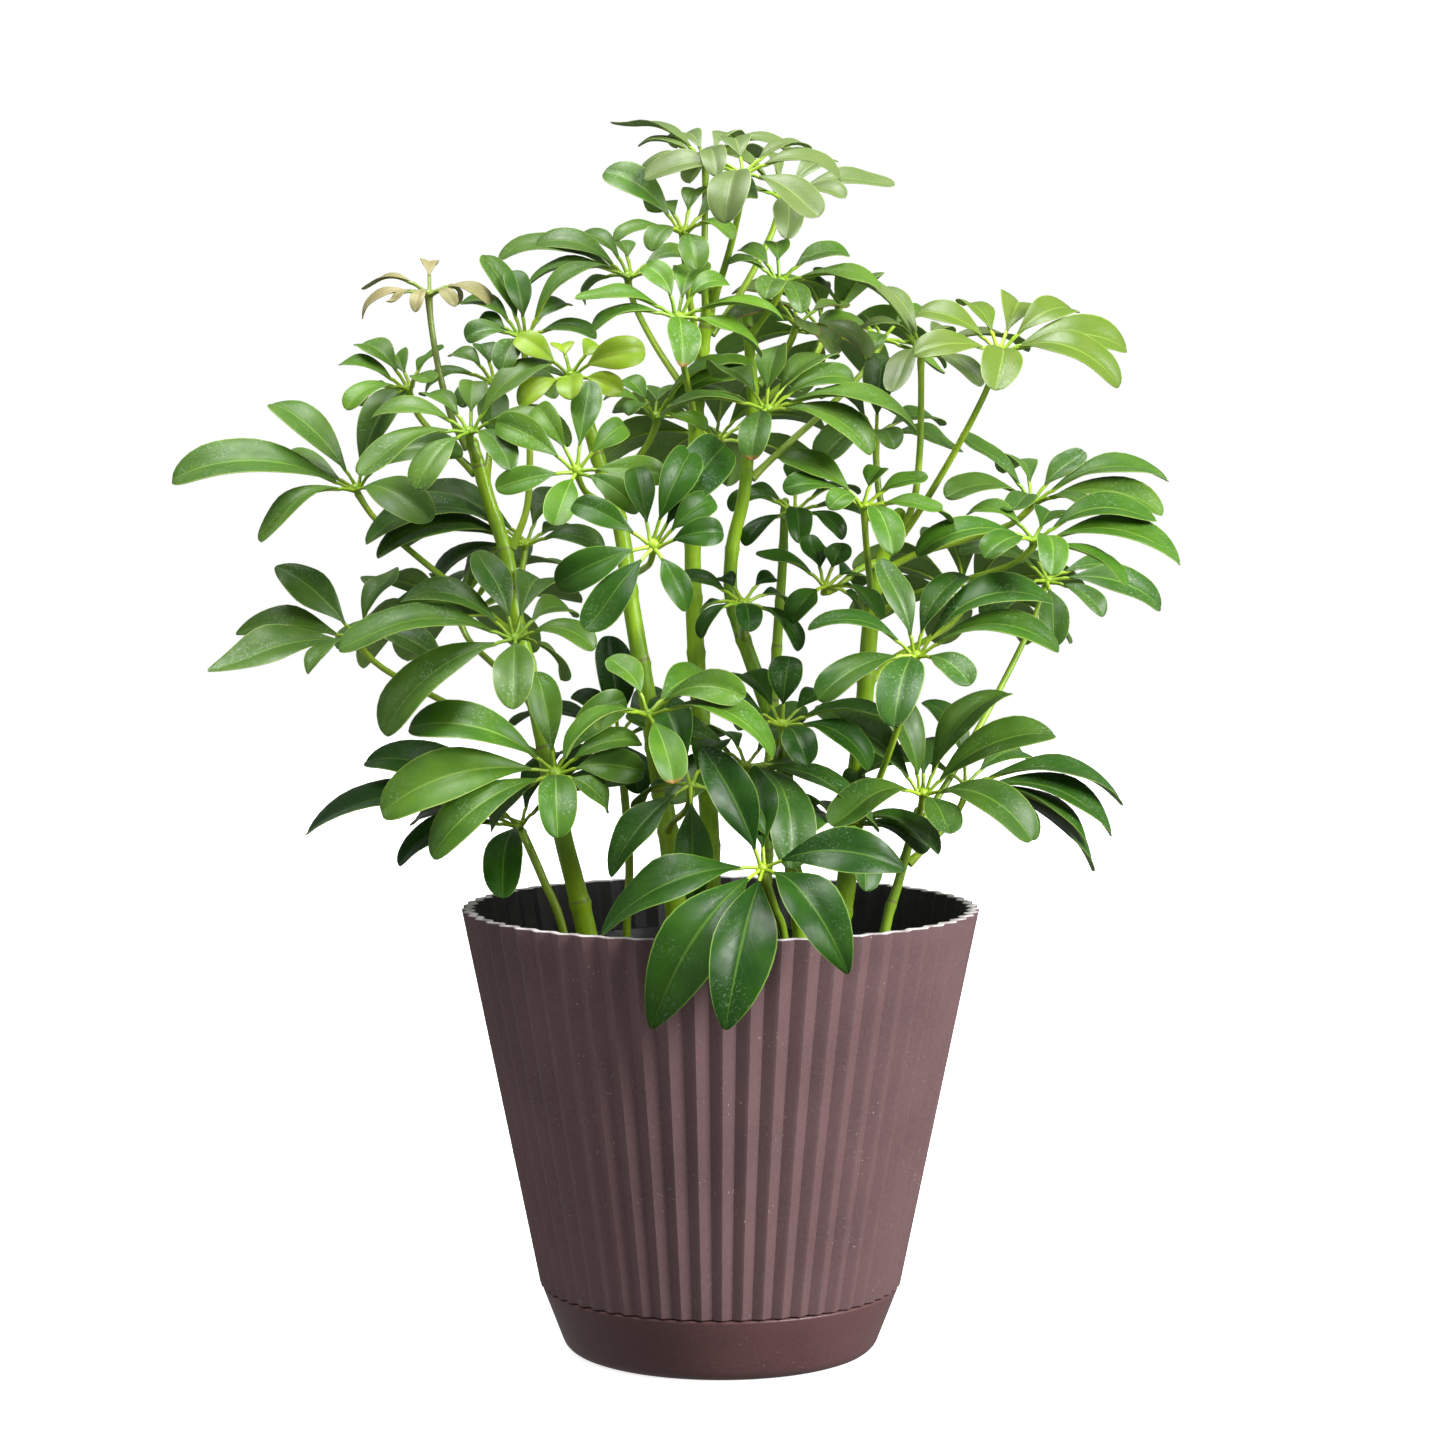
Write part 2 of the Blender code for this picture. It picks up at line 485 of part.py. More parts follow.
def stem_point(name, z):
    """Middle, radius and direction of a stem at a height."""
    points = stem_paths[name]
    foot_r, top_r = STEMS[name][0] * MM, STEMS[name][1] * MM
    for k in range(len(points) - 1):
        low, high = points[k], points[k + 1]
        if low.z <= z <= high.z or k == len(points) - 2:
            share = min(max((z - low.z) / (high.z - low.z), 0.0), 1.0)
            radius = foot_r + (top_r - foot_r) * (k + share) / (len(points) - 1)
            return low.lerp(high, share), radius
    return points[-1], top_r


def petiole_path(hub, foot, facing, out, bow):
    """A petiole from the hub's underside down to its foot at the stem."""
    length = (hub - foot).length
    down = (facing * 0.5 + Vector((0.0, 0.0, 1.0))).normalized()
    second = hub - down * min(length * 0.3, 14.0 * MM) + bow
    third = foot + (out * 0.7 + Vector((0.0, 0.0, 0.7))) * length * 0.22 + bow
    count = 3 if length < 45.0 * MM else 4
    path = []
    for k in range(count + 1):
        t = k / count
        u = 1.0 - t
        path.append(hub * u ** 3 + second * (3.0 * u * u * t) + third * (3.0 * u * t * t) + foot * t ** 3)
    return path


def nudges():
    """Small moves of a tip or hub, nearest first: depth, then height, then sideways."""
    for depth in (0, 6, -6, 12, -12, 18, -18, 25, -25):
        for rise in (0, 5, -5, 10, -10):
            for across in (0, 5, -5):
                yield Vector((across, depth, rise)) * MM


def zipper(bm, upper, lower):
    """Faces between two closed loops of unlike counts that run the same way round."""
    i = 0
    j = 0
    while i < len(upper) or j < len(lower):
        a, b = upper[i % len(upper)], lower[j % len(lower)]
        if j >= len(lower) or (i < len(upper) and (i + 0.5) / len(upper) <= (j + 0.5) / len(lower)):
            bm.faces.new((a, upper[(i + 1) % len(upper)], b))
            i += 1
        else:
            bm.faces.new((a, lower[(j + 1) % len(lower)], b))
            j += 1


def leaf_round(facing):
    """Two directions across the way a leaf faces."""
    side = facing.cross(Vector((0.0, 0.0, 1.0)))
    if side.length < 0.1:
        side = Vector((1.0, 0.0, 0.0))
    side.normalize()
    return side, facing.cross(side)


def fill_round(hub, tips, length, count, facing):
    """Adds tips in the widest gaps until a leaf has its count, and sorts them round its hub."""
    side, other = leaf_round(facing)

    def turn_of(tip):
        way = tip - hub
        return math.atan2(way.dot(other), way.dot(side)) % (2.0 * math.pi)

    tips = list(tips)
    rng = random.Random(len(tips) * 31 + int(length * 1e5))
    while len(tips) < count:
        turns = sorted(turn_of(tip) for tip in tips)
        gaps = [((turns[(k + 1) % len(turns)] - turns[k]) % (2.0 * math.pi) or 2.0 * math.pi, turns[k])
                for k in range(len(turns))]
        gap, start = max(gaps)
        turn = start + gap / 2.0
        way = side * math.cos(turn) + other * math.sin(turn) + facing * rng.uniform(-0.1, 0.25)
        way.z -= 0.15
        tips.append(hub + way.normalized() * length * rng.uniform(0.78, 0.92))
    return sorted(tips, key=turn_of)


def grow_leaf(name, stem, height, hub, facing, length, ratio, tips, mat):
    """Petiole and hub of one compound leaf, kept clear of all that stands before it."""
    sides = len(tips)
    hub_r = HUB_SIDE / (2.0 * math.sin(math.pi / sides))
    found = None
    if stem in LONG_PETIOLES:
        path = [sight(*p) for p in reversed(LONG_PETIOLES[stem])]
        rings = tube_rings(path, [LONG_PETIOLE_R] * len(path), 6)
        points, faces = rings_mesh(rings[:-1], path[-1], MARGIN)
        placed.add(name, points, faces)
        return name, hub, Vector(), rings, facing, length, ratio, tips, mat, hub_r
    foot_centre, foot_r = stem_point(stem, height * MM)
    for nudge in nudges():
        out = hub + nudge - foot_centre
        out.z = 0.0
        out.normalize()
        foot = foot_centre + out * (foot_r + GAP + 0.15 * MM)
        under = hub + nudge - facing * HUB_HEIGHT
        for bow in (0, 8, -8, 16, -16, 24, -24):
            for swing in (0.0, 8.0, -8.0):
                path = petiole_path(under, foot, facing, out, Vector((swing, bow, 0.0)) * MM)
                radii = [PETIOLE_R * (0.95 + 0.25 * k / (len(path) - 1)) for k in range(len(path))]
                rings = tube_rings(path[1:], radii[1:], 4, -out)
                test = tube_rings([hub + nudge + facing * MARGIN] + path, [hub_r + MARGIN] * 2
                                  + [r * 1.3 + MARGIN for r in radii[1:]], 4)
                points, faces = rings_mesh(test, path[-1], 0.0)
                own, own_faces = rings_mesh(rings, path[-1], 0.0)
                if placed.clear(points, faces, (stem,)) and placed.clear(own, own_faces):
                    found = (hub + nudge, rings, points, faces)
                    break
            if found:
                break
        if found:
            break
    if not found:
        print("left out", name)
        return None
    moved, rings, points, faces = found
    placed.add(name, points, faces)
    return name, moved, moved - hub, rings, facing, length, ratio, tips, mat, hub_r


def grow_leaflets(name, hub, shift, rings, facing, length, ratio, tips, mat, hub_r):
    side, other = leaf_round(facing)
    sides = len(tips)
    round_sides = len(rings[0])
    rng = random.Random(int(abs(hub.x) * 1e6) % 9973)
    turns = [math.atan2((t - hub).dot(other), (t - hub).dot(side)) for t in tips]
    drift = sum(math.sin(turn - 2.0 * math.pi * k / sides) for k, turn in enumerate(turns))
    level = sum(math.cos(turn - 2.0 * math.pi * k / sides) for k, turn in enumerate(turns))
    start_turn = math.atan2(drift, level) - math.pi / sides
    corners = []
    for k in range(sides):
        turn = start_turn + 2.0 * math.pi * k / sides
        corners.append((side * math.cos(turn) + other * math.sin(turn)) * hub_r)
    bm = bmesh.new()
    top = [bm.verts.new(hub + c) for c in corners]
    low = [bm.verts.new(hub + c - facing * HUB_HEIGHT) for c in corners]
    bm.faces.new(top)
    kept = []
    for k, tip in enumerate(tips):
        nxt = (k + 1) % sides
        begin = hub + (corners[k] + corners[nxt]) / 2.0 - facing * (HUB_HEIGHT / 2.0)
        quad = (low[k], low[nxt], top[nxt], top[k])
        blade = place_leaflet(name, begin, tip + shift, facing, length, ratio, kept, rng)
        if blade is None:
            bm.faces.new(quad)
            continue
        ring_list, end = blade
        kept.append(blade)
        loop = list(quad)
        for ring in ring_list:
            new = [bm.verts.new(p) for p in ring]
            for s in range(4):
                bm.faces.new((loop[s], loop[(s + 1) % 4], new[(s + 1) % 4], new[s]))
            loop = new
        point = bm.verts.new(end)
        for s in range(4):
            bm.faces.new((loop[s], loop[(s + 1) % 4], point))
    first = [bm.verts.new(p) for p in rings[0]]
    centre = sum(rings[0], Vector()) / round_sides

    def round_turn(vert, middle):
        flat = vert.co - middle
        return math.atan2(flat.dot(other), flat.dot(side))

    zipper(bm, sorted(low, key=lambda v: round_turn(v, hub)), sorted(first, key=lambda v: round_turn(v, centre)))
    loop = first
    for ring in rings[1:]:
        new = [bm.verts.new(p) for p in ring]
        for s in range(round_sides):
            nxt = (s + 1) % round_sides
            bm.faces.new((loop[s], loop[nxt], new[nxt], new[s]))
        loop = new
    bm.faces.new(loop)
    return from_bmesh(name, bm, mat), len(kept)


def place_leaflet(name, begin, tip, facing, length, ratio, kept, rng):
    roll = rng.uniform(-0.25, 0.25)
    arch = BLADE_ARCH * rng.uniform(0.7, 1.5)
    for shrink in (1.0, 0.88, 0.76):
        for nudge in nudges():
            end = begin + (tip - begin) * shrink + nudge * (0.9 if shrink == 1.0 else 0.7)
            span = (end - begin).length
            if span < 16.0 * MM:
                continue
            width = max(span, 0.72 * length) * ratio * (0.9 if span < 0.7 * length else 1.0)
            rings, end = blade_rings(begin, end, facing, width, roll, arch)
            stalk = [p + begin - sum(rings[0], Vector()) / 4.0 for p in rings[0]]
            whole, whole_faces = rings_mesh([stalk] + rings, end, MARGIN)
            if not placed.clear(whole, whole_faces, (name,)):
                continue
            points, faces = rings_mesh(rings, end, MARGIN)
            if any(BVHTree.FromPolygons(points, faces).overlap(tree) for tree in
                   [BVHTree.FromPolygons(*rings_mesh(*other, 0.0)) for other in kept]):
                continue
            placed.add(name, whole, whole_faces)
            return rings, end
    return None


for old in list(bpy.data.objects):
    bpy.data.objects.remove(old)
collection = bpy.data.collections.new("potted_dwarf_umbrella_tree")
bpy.context.scene.collection.children.link(collection)
cutters = bpy.data.collections.new("cutters")
bpy.context.scene.collection.children.link(cutters)

pot_plastic = material("pot_plastic", (0.105, 0.052, 0.052), 0.6)
saucer_plastic = material("saucer_plastic", (0.095, 0.047, 0.047), 0.5)
black_plastic = material("black_plastic", (0.012, 0.012, 0.013), 0.45)
soil_mix = material("soil_mix", (0.03, 0.018, 0.01), 0.95)
finishes = {
    "stem": material("green_stem", (0.17, 0.33, 0.035), 0.4),
    "shoot": material("green_shoot", (0.14, 0.25, 0.05), 0.45),
    "deep": material("leaf_deep", (0.045, 0.13, 0.03), 0.35),
    "dark": material("leaf_dark", (0.028, 0.085, 0.022), 0.35),
    "fresh": material("leaf_fresh", (0.075, 0.21, 0.03), 0.35),
    "pale": material("leaf_pale", (0.2, 0.36, 0.09), 0.4),
    "bright": material("leaf_bright", (0.24, 0.48, 0.05), 0.4),
    "yellow": material("leaf_yellow", (0.3, 0.4, 0.05), 0.4),
    "bronze": material("leaf_bronze", (0.4, 0.33, 0.13), 0.45),
    "red_edge": material("leaf_red_edge", (0.08, 0.14, 0.05), 0.4),
}

make_saucer()
make_pot()
make_nursery_pot()

placed = Placed()
stem_paths = {name: [sight(*p) for p in row[3]] for name, row in STEMS.items()}
for name, (foot_r, top_r, finish, points) in STEMS.items():
    path = stem_paths[name]
    radii = [(foot_r + (top_r - foot_r) * k / (len(path) - 1)) * MM for k in range(len(path))]
    obj = mesh_from_curve(tube_object(name, path, radii, finishes[finish], collection))
    placed.add(name, [v.co for v in obj.data.vertices], [tuple(p.vertices) for p in obj.data.polygons])
long_paths = {name: [sight(*p) for p in points] for name, points in LONG_PETIOLES.items()}
make_soil({**stem_paths, **long_paths})

for obj_name in ("pot", "nursery_pot"):
    thing = bpy.data.objects[obj_name].evaluated_get(bpy.context.evaluated_depsgraph_get())
    hull = bpy.data.meshes.new_from_object(thing)
    placed.add(obj_name, [v.co for v in hull.vertices], [tuple(p.vertices) for p in hull.polygons])
    bpy.data.meshes.remove(hull)

hubs = []
for name, stem, height, (x, z, y), face, length, ratio, finish, count, tips in LEAVES:
    if z > SPREAD_FROM_Z:
        y *= DEPTH_SPREAD
    facing = Vector(face).normalized()
    hub = sight(x, z, y)
    shown = [sight(tx, tz, y + ty) for tx, tz, ty in tips]
    ends = fill_round(hub, shown, length * MM, count, facing)
    hubs.append(grow_leaf(name, stem, height, hub, facing, length * MM, ratio, ends, finishes[finish]))
for name, stem, height, turn, reach, rise, length, count in BACK_LEAVES:
    way = Vector((math.cos(math.radians(turn)), math.sin(math.radians(turn)), 0.0))
    hub = stem_point(stem, height * MM)[0] + way * reach * MM + Vector((0.0, 0.0, rise * MM))
    facing = (Vector((0.0, 0.0, 1.0)) + way * 0.6).normalized()
    side = facing.cross(way).normalized()
    first = hub + (way * 0.9 - Vector((0.0, 0.0, 0.35))).normalized() * length * MM * 0.95
    second = hub + (side * 0.9 - Vector((0.0, 0.0, 0.2))).normalized() * length * MM * 0.9
    ends = fill_round(hub, (first, second), length * MM, count, facing)
    hubs.append(grow_leaf(name, stem, height, hub, facing, length * MM, 0.36, ends, finishes["deep"]))
total = 0
for row in hubs:
    if row is not None:
        total += grow_leaflets(*row)[1]
print("leaflets", total)
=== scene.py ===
import json
import math
import random

import bmesh
import bpy
from mathutils import Matrix, Vector


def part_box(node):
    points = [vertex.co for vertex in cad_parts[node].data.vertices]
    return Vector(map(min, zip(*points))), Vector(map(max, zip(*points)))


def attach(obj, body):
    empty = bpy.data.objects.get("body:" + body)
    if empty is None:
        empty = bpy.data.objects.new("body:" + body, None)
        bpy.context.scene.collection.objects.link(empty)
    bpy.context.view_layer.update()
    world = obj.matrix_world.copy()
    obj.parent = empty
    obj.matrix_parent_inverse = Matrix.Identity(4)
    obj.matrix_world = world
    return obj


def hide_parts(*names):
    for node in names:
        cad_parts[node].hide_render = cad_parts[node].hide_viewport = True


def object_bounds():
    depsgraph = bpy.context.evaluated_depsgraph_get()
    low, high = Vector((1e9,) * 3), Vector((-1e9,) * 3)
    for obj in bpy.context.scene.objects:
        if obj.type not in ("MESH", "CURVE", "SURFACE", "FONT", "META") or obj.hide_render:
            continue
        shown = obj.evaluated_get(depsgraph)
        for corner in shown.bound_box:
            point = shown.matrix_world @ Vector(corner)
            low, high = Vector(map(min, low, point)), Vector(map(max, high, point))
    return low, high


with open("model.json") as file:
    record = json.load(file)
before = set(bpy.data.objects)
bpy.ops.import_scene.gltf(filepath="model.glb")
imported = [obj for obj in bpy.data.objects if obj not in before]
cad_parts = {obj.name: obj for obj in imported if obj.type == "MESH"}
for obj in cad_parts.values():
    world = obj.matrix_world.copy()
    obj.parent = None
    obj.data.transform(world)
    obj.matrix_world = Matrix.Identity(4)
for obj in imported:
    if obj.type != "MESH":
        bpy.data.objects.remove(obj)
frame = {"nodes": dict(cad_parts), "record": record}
cad_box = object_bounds()
MM = 0.001


# Saucer: a shallow round tray of smooth injection-moulded plastic. The pot drops into it.
# It stands on a flat foot, its side leans out in a straight line, and its lip is thin and rounded.
# A section's corners are (radius, height, rounding) in mm. They run from the middle of the underside out
# and over the lip.
SAUCER_SECTION = (
    (0.0, 0.7, 0.0), (50.0, 0.7, 0.6), (51.5, 0.0, 0.6), (62.6, 0.0, 7.0), (72.9, 26.6, 0.9),
    (70.5, 26.6, 0.9), (62.1, 3.0, 2.5), (0.0, 3.0, 0.0))
SAUCER_STEP = 8.0
ROUND_STEPS = 192
ARC_STEPS = 5
SAME_PLACE = 0.01 * MM


def rounded_section(corners, step):
    """A section's corners (radius, height, rounding) in mm as a fine line, with its long runs divided."""
    line = []
    for k, (r, z, rounding) in enumerate(corners):
        here = Vector((r, z))
        if rounding == 0.0 or k in (0, len(corners) - 1):
            line.append(here)
            continue
        before = (Vector(corners[k - 1][:2]) - here).normalized()
        after = (Vector(corners[k + 1][:2]) - here).normalized()
        half = before.angle(after) / 2.0
        reach = rounding / math.tan(half)
        centre = here + (before + after).normalized() * (rounding / math.sin(half))
        start = here + before * reach - centre
        end = here + after * reach - centre
        turn = start.angle_signed(end)
        for j in range(ARC_STEPS + 1):
            line.append(centre + Matrix.Rotation(-turn * j / ARC_STEPS, 2) @ start)
    fine = [line[0]]
    for a, b in zip(line, line[1:]):
        runs = max(1, math.ceil((b - a).length / step))
        fine += [a.lerp(b, (j + 1) / runs) for j in range(runs)]
    return [point * MM for point in fine]


def new_tree(name, inputs):
    """A Geometry Nodes tree with a geometry socket each way and named inputs (name, kind, value)."""
    tree = bpy.data.node_groups.new(name, "GeometryNodeTree")
    tree.interface.new_socket("Geometry", in_out="INPUT", socket_type="NodeSocketGeometry")
    for label, kind, value in inputs:
        socket = tree.interface.new_socket(label, in_out="INPUT", socket_type="NodeSocket" + kind)
        if value is not None:
            socket.default_value = value
    tree.interface.new_socket("Geometry", in_out="OUTPUT", socket_type="NodeSocketGeometry")
    tree.is_modifier = True
    return tree, tree.nodes.new("NodeGroupInput").outputs, tree.nodes.new("NodeGroupOutput").inputs[0]


def live(sockets, key):
    """The socket in use under a name, of the several that a node with a choice of types has."""
    return sockets[key] if isinstance(key, int) else next(s for s in sockets if s.name == key and s.enabled)


def put(tree, kind, links=None, **settings):
    """A node with its settings and its inputs, each a socket to link or a value."""
    node = tree.nodes.new(kind)
    for key, value in settings.items():
        setattr(node, key, value)
    for key, value in (links or {}).items():
        if isinstance(value, bpy.types.NodeSocket):
            tree.links.new(value, live(node.inputs, key))
        else:
            live(node.inputs, key).default_value = value
    return node


def sum_of(tree, operation, *values):
    """The result of a Math node on sockets or numbers."""
    return put(tree, "ShaderNodeMath", dict(enumerate(values)), operation=operation).outputs[0]


def grown(obj, tree, **values):
    """Runs a tree on an object and leaves it as a plain mesh."""
    change = obj.modifiers.new("grow", "NODES")
    change.node_group = tree
    for item in tree.interface.items_tree:
        if item.item_type == "SOCKET" and item.in_out == "INPUT":
            key = item.name.lower().replace(" ", "_")
            if key in values:
                change[item.identifier] = values[key]
    mesh = bpy.data.meshes.new_from_object(obj.evaluated_get(bpy.context.evaluated_depsgraph_get()))
    obj.modifiers.clear()
    obj.data = mesh
    return obj


def named(tree, name, kind="FLOAT"):
    """A named attribute of the geometry."""
    node = put(tree, "GeometryNodeInputNamedAttribute", {"Name": name}, data_type=kind)
    return live(node.outputs, "Attribute")


def noted(tree, geometry, name, value, domain="POINT"):
    """The geometry with a value stored on it under a name."""
    return put(tree, "GeometryNodeStoreNamedAttribute", {"Geometry": geometry, "Name": name, "Value": value},
               data_type="FLOAT", domain=domain).outputs[0]


def ended(tree, geometry, material, out):
    """Ends a tree: its instances made real and its material set."""
    real = put(tree, "GeometryNodeRealizeInstances", {"Geometry": geometry})
    done = put(tree, "GeometryNodeSetMaterial", {"Geometry": real.outputs[0], "Material": material})
    tree.links.new(done.outputs[0], out)


def wall_tree():
    """Turns a section round the axis, with pleats pressed into it where the section asks for them."""
    tree, given, out = new_tree("turned wall", (
        ("Steps Round", "Int", ROUND_STEPS), ("Pleats", "Int", 1), ("First Ridge", "Float", 0.0),
        ("Crispness", "Float", 0.97), ("Surface", "Material", None)))
    count = put(tree, "GeometryNodeAttributeDomainSize", {"Geometry": given["Geometry"]}, component="MESH")
    columns = sum_of(tree, "ADD", given["Steps Round"], 1)
    grid = put(tree, "GeometryNodeMeshGrid", {"Size X": 1.0, "Size Y": 1.0, "Vertices X": columns,
                                             "Vertices Y": count.outputs["Point Count"]})
    place = put(tree, "ShaderNodeSeparateXYZ", {0: put(tree, "GeometryNodeInputPosition").outputs[0]})
    turn = sum_of(tree, "MULTIPLY", sum_of(tree, "ADD", place.outputs["X"], 0.5), math.tau)
    last = sum_of(tree, "SUBTRACT", count.outputs["Point Count"], 1)
    row = sum_of(tree, "ROUND", sum_of(tree, "MULTIPLY", sum_of(tree, "ADD", place.outputs["Y"], 0.5), last))

    def sampled(kind, value):
        node = put(tree, "GeometryNodeSampleIndex", {"Geometry": given["Geometry"], "Index": row},
                   data_type=kind, domain="POINT")
        tree.links.new(value, live(node.inputs, "Value"))
        return live(node.outputs, "Value")

    section = put(tree, "ShaderNodeSeparateXYZ", {
        0: sampled("FLOAT_VECTOR", put(tree, "GeometryNodeInputPosition").outputs[0])})
    depth = sampled("FLOAT", named(tree, "pleat"))
    inner = sampled("FLOAT", named(tree, "inner"))
    from_ridge = sum_of(tree, "SUBTRACT", turn, given["First Ridge"])
    swing = sum_of(tree, "COSINE", sum_of(tree, "MULTIPLY", from_ridge, given["Pleats"]))
    zigzag = sum_of(tree, "ARCSINE", sum_of(tree, "MULTIPLY", swing, given["Crispness"]))
    wave = sum_of(tree, "DIVIDE", zigzag, sum_of(tree, "ARCSINE", given["Crispness"]))
    valley = sum_of(tree, "MULTIPLY_ADD", wave, -0.5, 0.5)
    radius = sum_of(tree, "SUBTRACT", section.outputs["X"], sum_of(tree, "MULTIPLY", depth, valley))
    across = sum_of(tree, "MULTIPLY", radius, sum_of(tree, "SINE", turn))
    front = sum_of(tree, "MULTIPLY", radius, sum_of(tree, "MULTIPLY", sum_of(tree, "COSINE", turn), -1.0))
    spot = put(tree, "ShaderNodeCombineXYZ", {"X": across, "Y": front, "Z": section.outputs["Y"]})
    marked = noted(tree, noted(tree, grid.outputs["Mesh"], "valley", valley), "inner", inner)
    placed = put(tree, "GeometryNodeSetPosition", {"Geometry": marked, "Position": spot.outputs[0]})
    closed = put(tree, "GeometryNodeMergeByDistance", {"Geometry": placed.outputs[0], "Distance": SAME_PLACE})
    smooth = put(tree, "GeometryNodeSetShadeSmooth", {"Geometry": closed.outputs[0], "Shade Smooth": True})
    ended(tree, smooth.outputs[0], given["Surface"], out)
    return tree


turned_wall = wall_tree()


def turned_piece(name, section, skin, depths=(), insides=(), crease=62.0, **values):
    """A turned piece from its rounded section. depths and insides give each point's own value."""
    mesh = bpy.data.meshes.new(name)
    mesh.from_pydata([(p.x, p.y, 0.0) for p in section], [(k, k + 1) for k in range(len(section) - 1)], [])
    for label, shares in (("pleat", depths), ("inner", insides)):
        shares = list(shares) or [0.0] * len(section)
        mesh.attributes.new(label, "FLOAT", "POINT").data.foreach_set("value", shares)
    obj = bpy.data.objects.new(name, mesh)
    bpy.context.scene.collection.objects.link(obj)
    grown(obj, turned_wall, surface=skin, **values)
    outwards(obj)
    obj.data.set_sharp_from_angle(angle=math.radians(crease))
    return obj


def outwards(obj):
    """Points a closed mesh's faces outwards."""
    bm = bmesh.new()
    bm.from_mesh(obj.data)
    bmesh.ops.recalc_face_normals(bm, faces=bm.faces[:])
    bm.to_mesh(obj.data)
    bm.free()


def surface(name, colour, rough, specular=0.5):
    """A new material, its shader and its tree."""
    mat = bpy.data.materials.new(name)
    mat.use_nodes = True
    tree = mat.node_tree
    shader = tree.nodes["Principled BSDF"]
    shader.inputs["Base Color"].default_value = (*colour, 1.0)
    shader.inputs["Roughness"].default_value = rough
    shader.inputs["Specular IOR Level"].default_value = specular
    return mat, tree, shader


def noise(tree, scale, detail=3.0, roughness=0.5, stretch=None):
    """Noise on object coordinates, which are metres here, so that a scale is per metre."""
    where = put(tree, "ShaderNodeTexCoord").outputs["Object"]
    if stretch:
        where = put(tree, "ShaderNodeMapping", {"Vector": where, "Scale": stretch}).outputs[0]
    return put(tree, "ShaderNodeTexNoise", {
        "Vector": where, "Scale": scale, "Detail": detail, "Roughness": roughness}).outputs["Fac"]


def between(tree, value, low, high, to_low=0.0, to_high=1.0):
    """A value's share of the way from low to high, kept within its ends."""
    node = put(tree, "ShaderNodeMapRange", {
        "Value": value, "From Min": low, "From Max": high, "To Min": to_low, "To Max": to_high})
    return node.outputs["Result"]


def carried(tree, name):
    """A value that the mesh carries under a name."""
    return put(tree, "ShaderNodeAttribute", attribute_name=name).outputs["Fac"]


def blended(tree, share, first, second, how="MIX"):
    """Two colours mixed by a share. Each is a socket or a colour."""
    node = tree.nodes.new("ShaderNodeMix")
    node.data_type = "RGBA"
    node.blend_type = how
    for key, value in ((0, share), (6, first), (7, second)):
        if isinstance(value, bpy.types.NodeSocket):
            tree.links.new(value, node.inputs[key])
        else:
            node.inputs[key].default_value = value if key == 0 else (*value, 1.0)
    return node.outputs[2]


def relief(tree, shader, height, strength, distance):
    """Bump from a height."""
    bump = put(tree, "ShaderNodeBump", {"Strength": strength, "Distance": distance, "Height": height})
    tree.links.new(bump.outputs[0], shader.inputs["Normal"])


PALE_SPECK = (0.55, 0.48, 0.46)


def moulded_brown(name, colour, rough, grain, specks):
    """Reddish brown plastic: cloudy tone, fine pitted grain and a few pale specks."""
    mat, tree, shader = surface(name, colour, rough, 0.42)
    cloud = between(tree, noise(tree, 26.0, 4.0), 0.3, 0.7)
    dark = [c * 0.84 for c in colour]
    light = [c * 1.1 for c in colour]
    tone = blended(tree, cloud, dark, light)
    mottle = between(tree, noise(tree, 620.0, 4.0, 0.7), 0.4, 0.68)
    tone = blended(tree, sum_of(tree, "MULTIPLY", mottle, 0.4), tone, [c * 1.4 for c in colour])
    speck = between(tree, noise(tree, 1100.0, 1.0), 0.72, 0.77)
    sparse = between(tree, noise(tree, 45.0, 3.0), 0.47, 0.66, 0.0, specks)
    tone = blended(tree, sum_of(tree, "MULTIPLY", speck, sparse), tone, PALE_SPECK)
    tree.links.new(tone, shader.inputs["Base Color"])
    pits = noise(tree, 1400.0, 2.0)
    tree.links.new(between(tree, pits, 0.3, 0.7, rough - 0.06, rough + 0.08), shader.inputs["Roughness"])
    relief(tree, shader, pits, grain, 0.12 * MM)
    return mat, tree, shader, tone


saucer_plastic = moulded_brown(
    "saucer_plastic", (0.093, 0.0415, 0.042), rough=0.42, grain=0.18, specks=0.35)[0]
saucer = turned_piece("saucer_tray", rounded_section(SAUCER_SECTION, SAUCER_STEP), saucer_plastic)
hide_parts("saucer")
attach(saucer, "root")


# Outer pot: one moulding of matte plastic, pleated all round, that stands with its plain plug in the saucer.
# The pleats run straight up to the rim, where their zigzag shows as the rim's own edge. Its inside is painted
# near black as painted shade, and a painted highlight runs along the rim's top edge.
POT_FOOT = (73.6, 27.0)
POT_RIM = (105.0, 180.9)
POT_WALL = 3.2
POT_SECTION = (
    (0.0, 3.3, 0.0), (59.5, 3.3, 1.5), (70.0, POT_FOOT[1], 0.3), (*POT_FOOT, 0.5), (*POT_RIM, 0.6),
    (POT_RIM[0] - POT_WALL, POT_RIM[1], 0.6), (68.4, POT_FOOT[1], 1.0), (56.3, 9.0, 2.0), (0.0, 9.0, 0.0))
POT_STEP = 8.0
PLEATS = 58
PLEAT_STEPS = 12
PLEAT_TURN = math.radians(0.4)
PLEAT_DEPTHS = (1.9 * MM, 2.5 * MM)
PLEAT_CRISPNESS = 0.996
PLEAT_CREASE = 33.0
RIM_POINTS = 3
OUTSIDE_BAND = 1.6 * MM
# How far below the rim's top the painted highlight fades in and where it is full, in mm.
RIM_HIGHLIGHT_BAND = (0.5 * MM, 0.25 * MM)


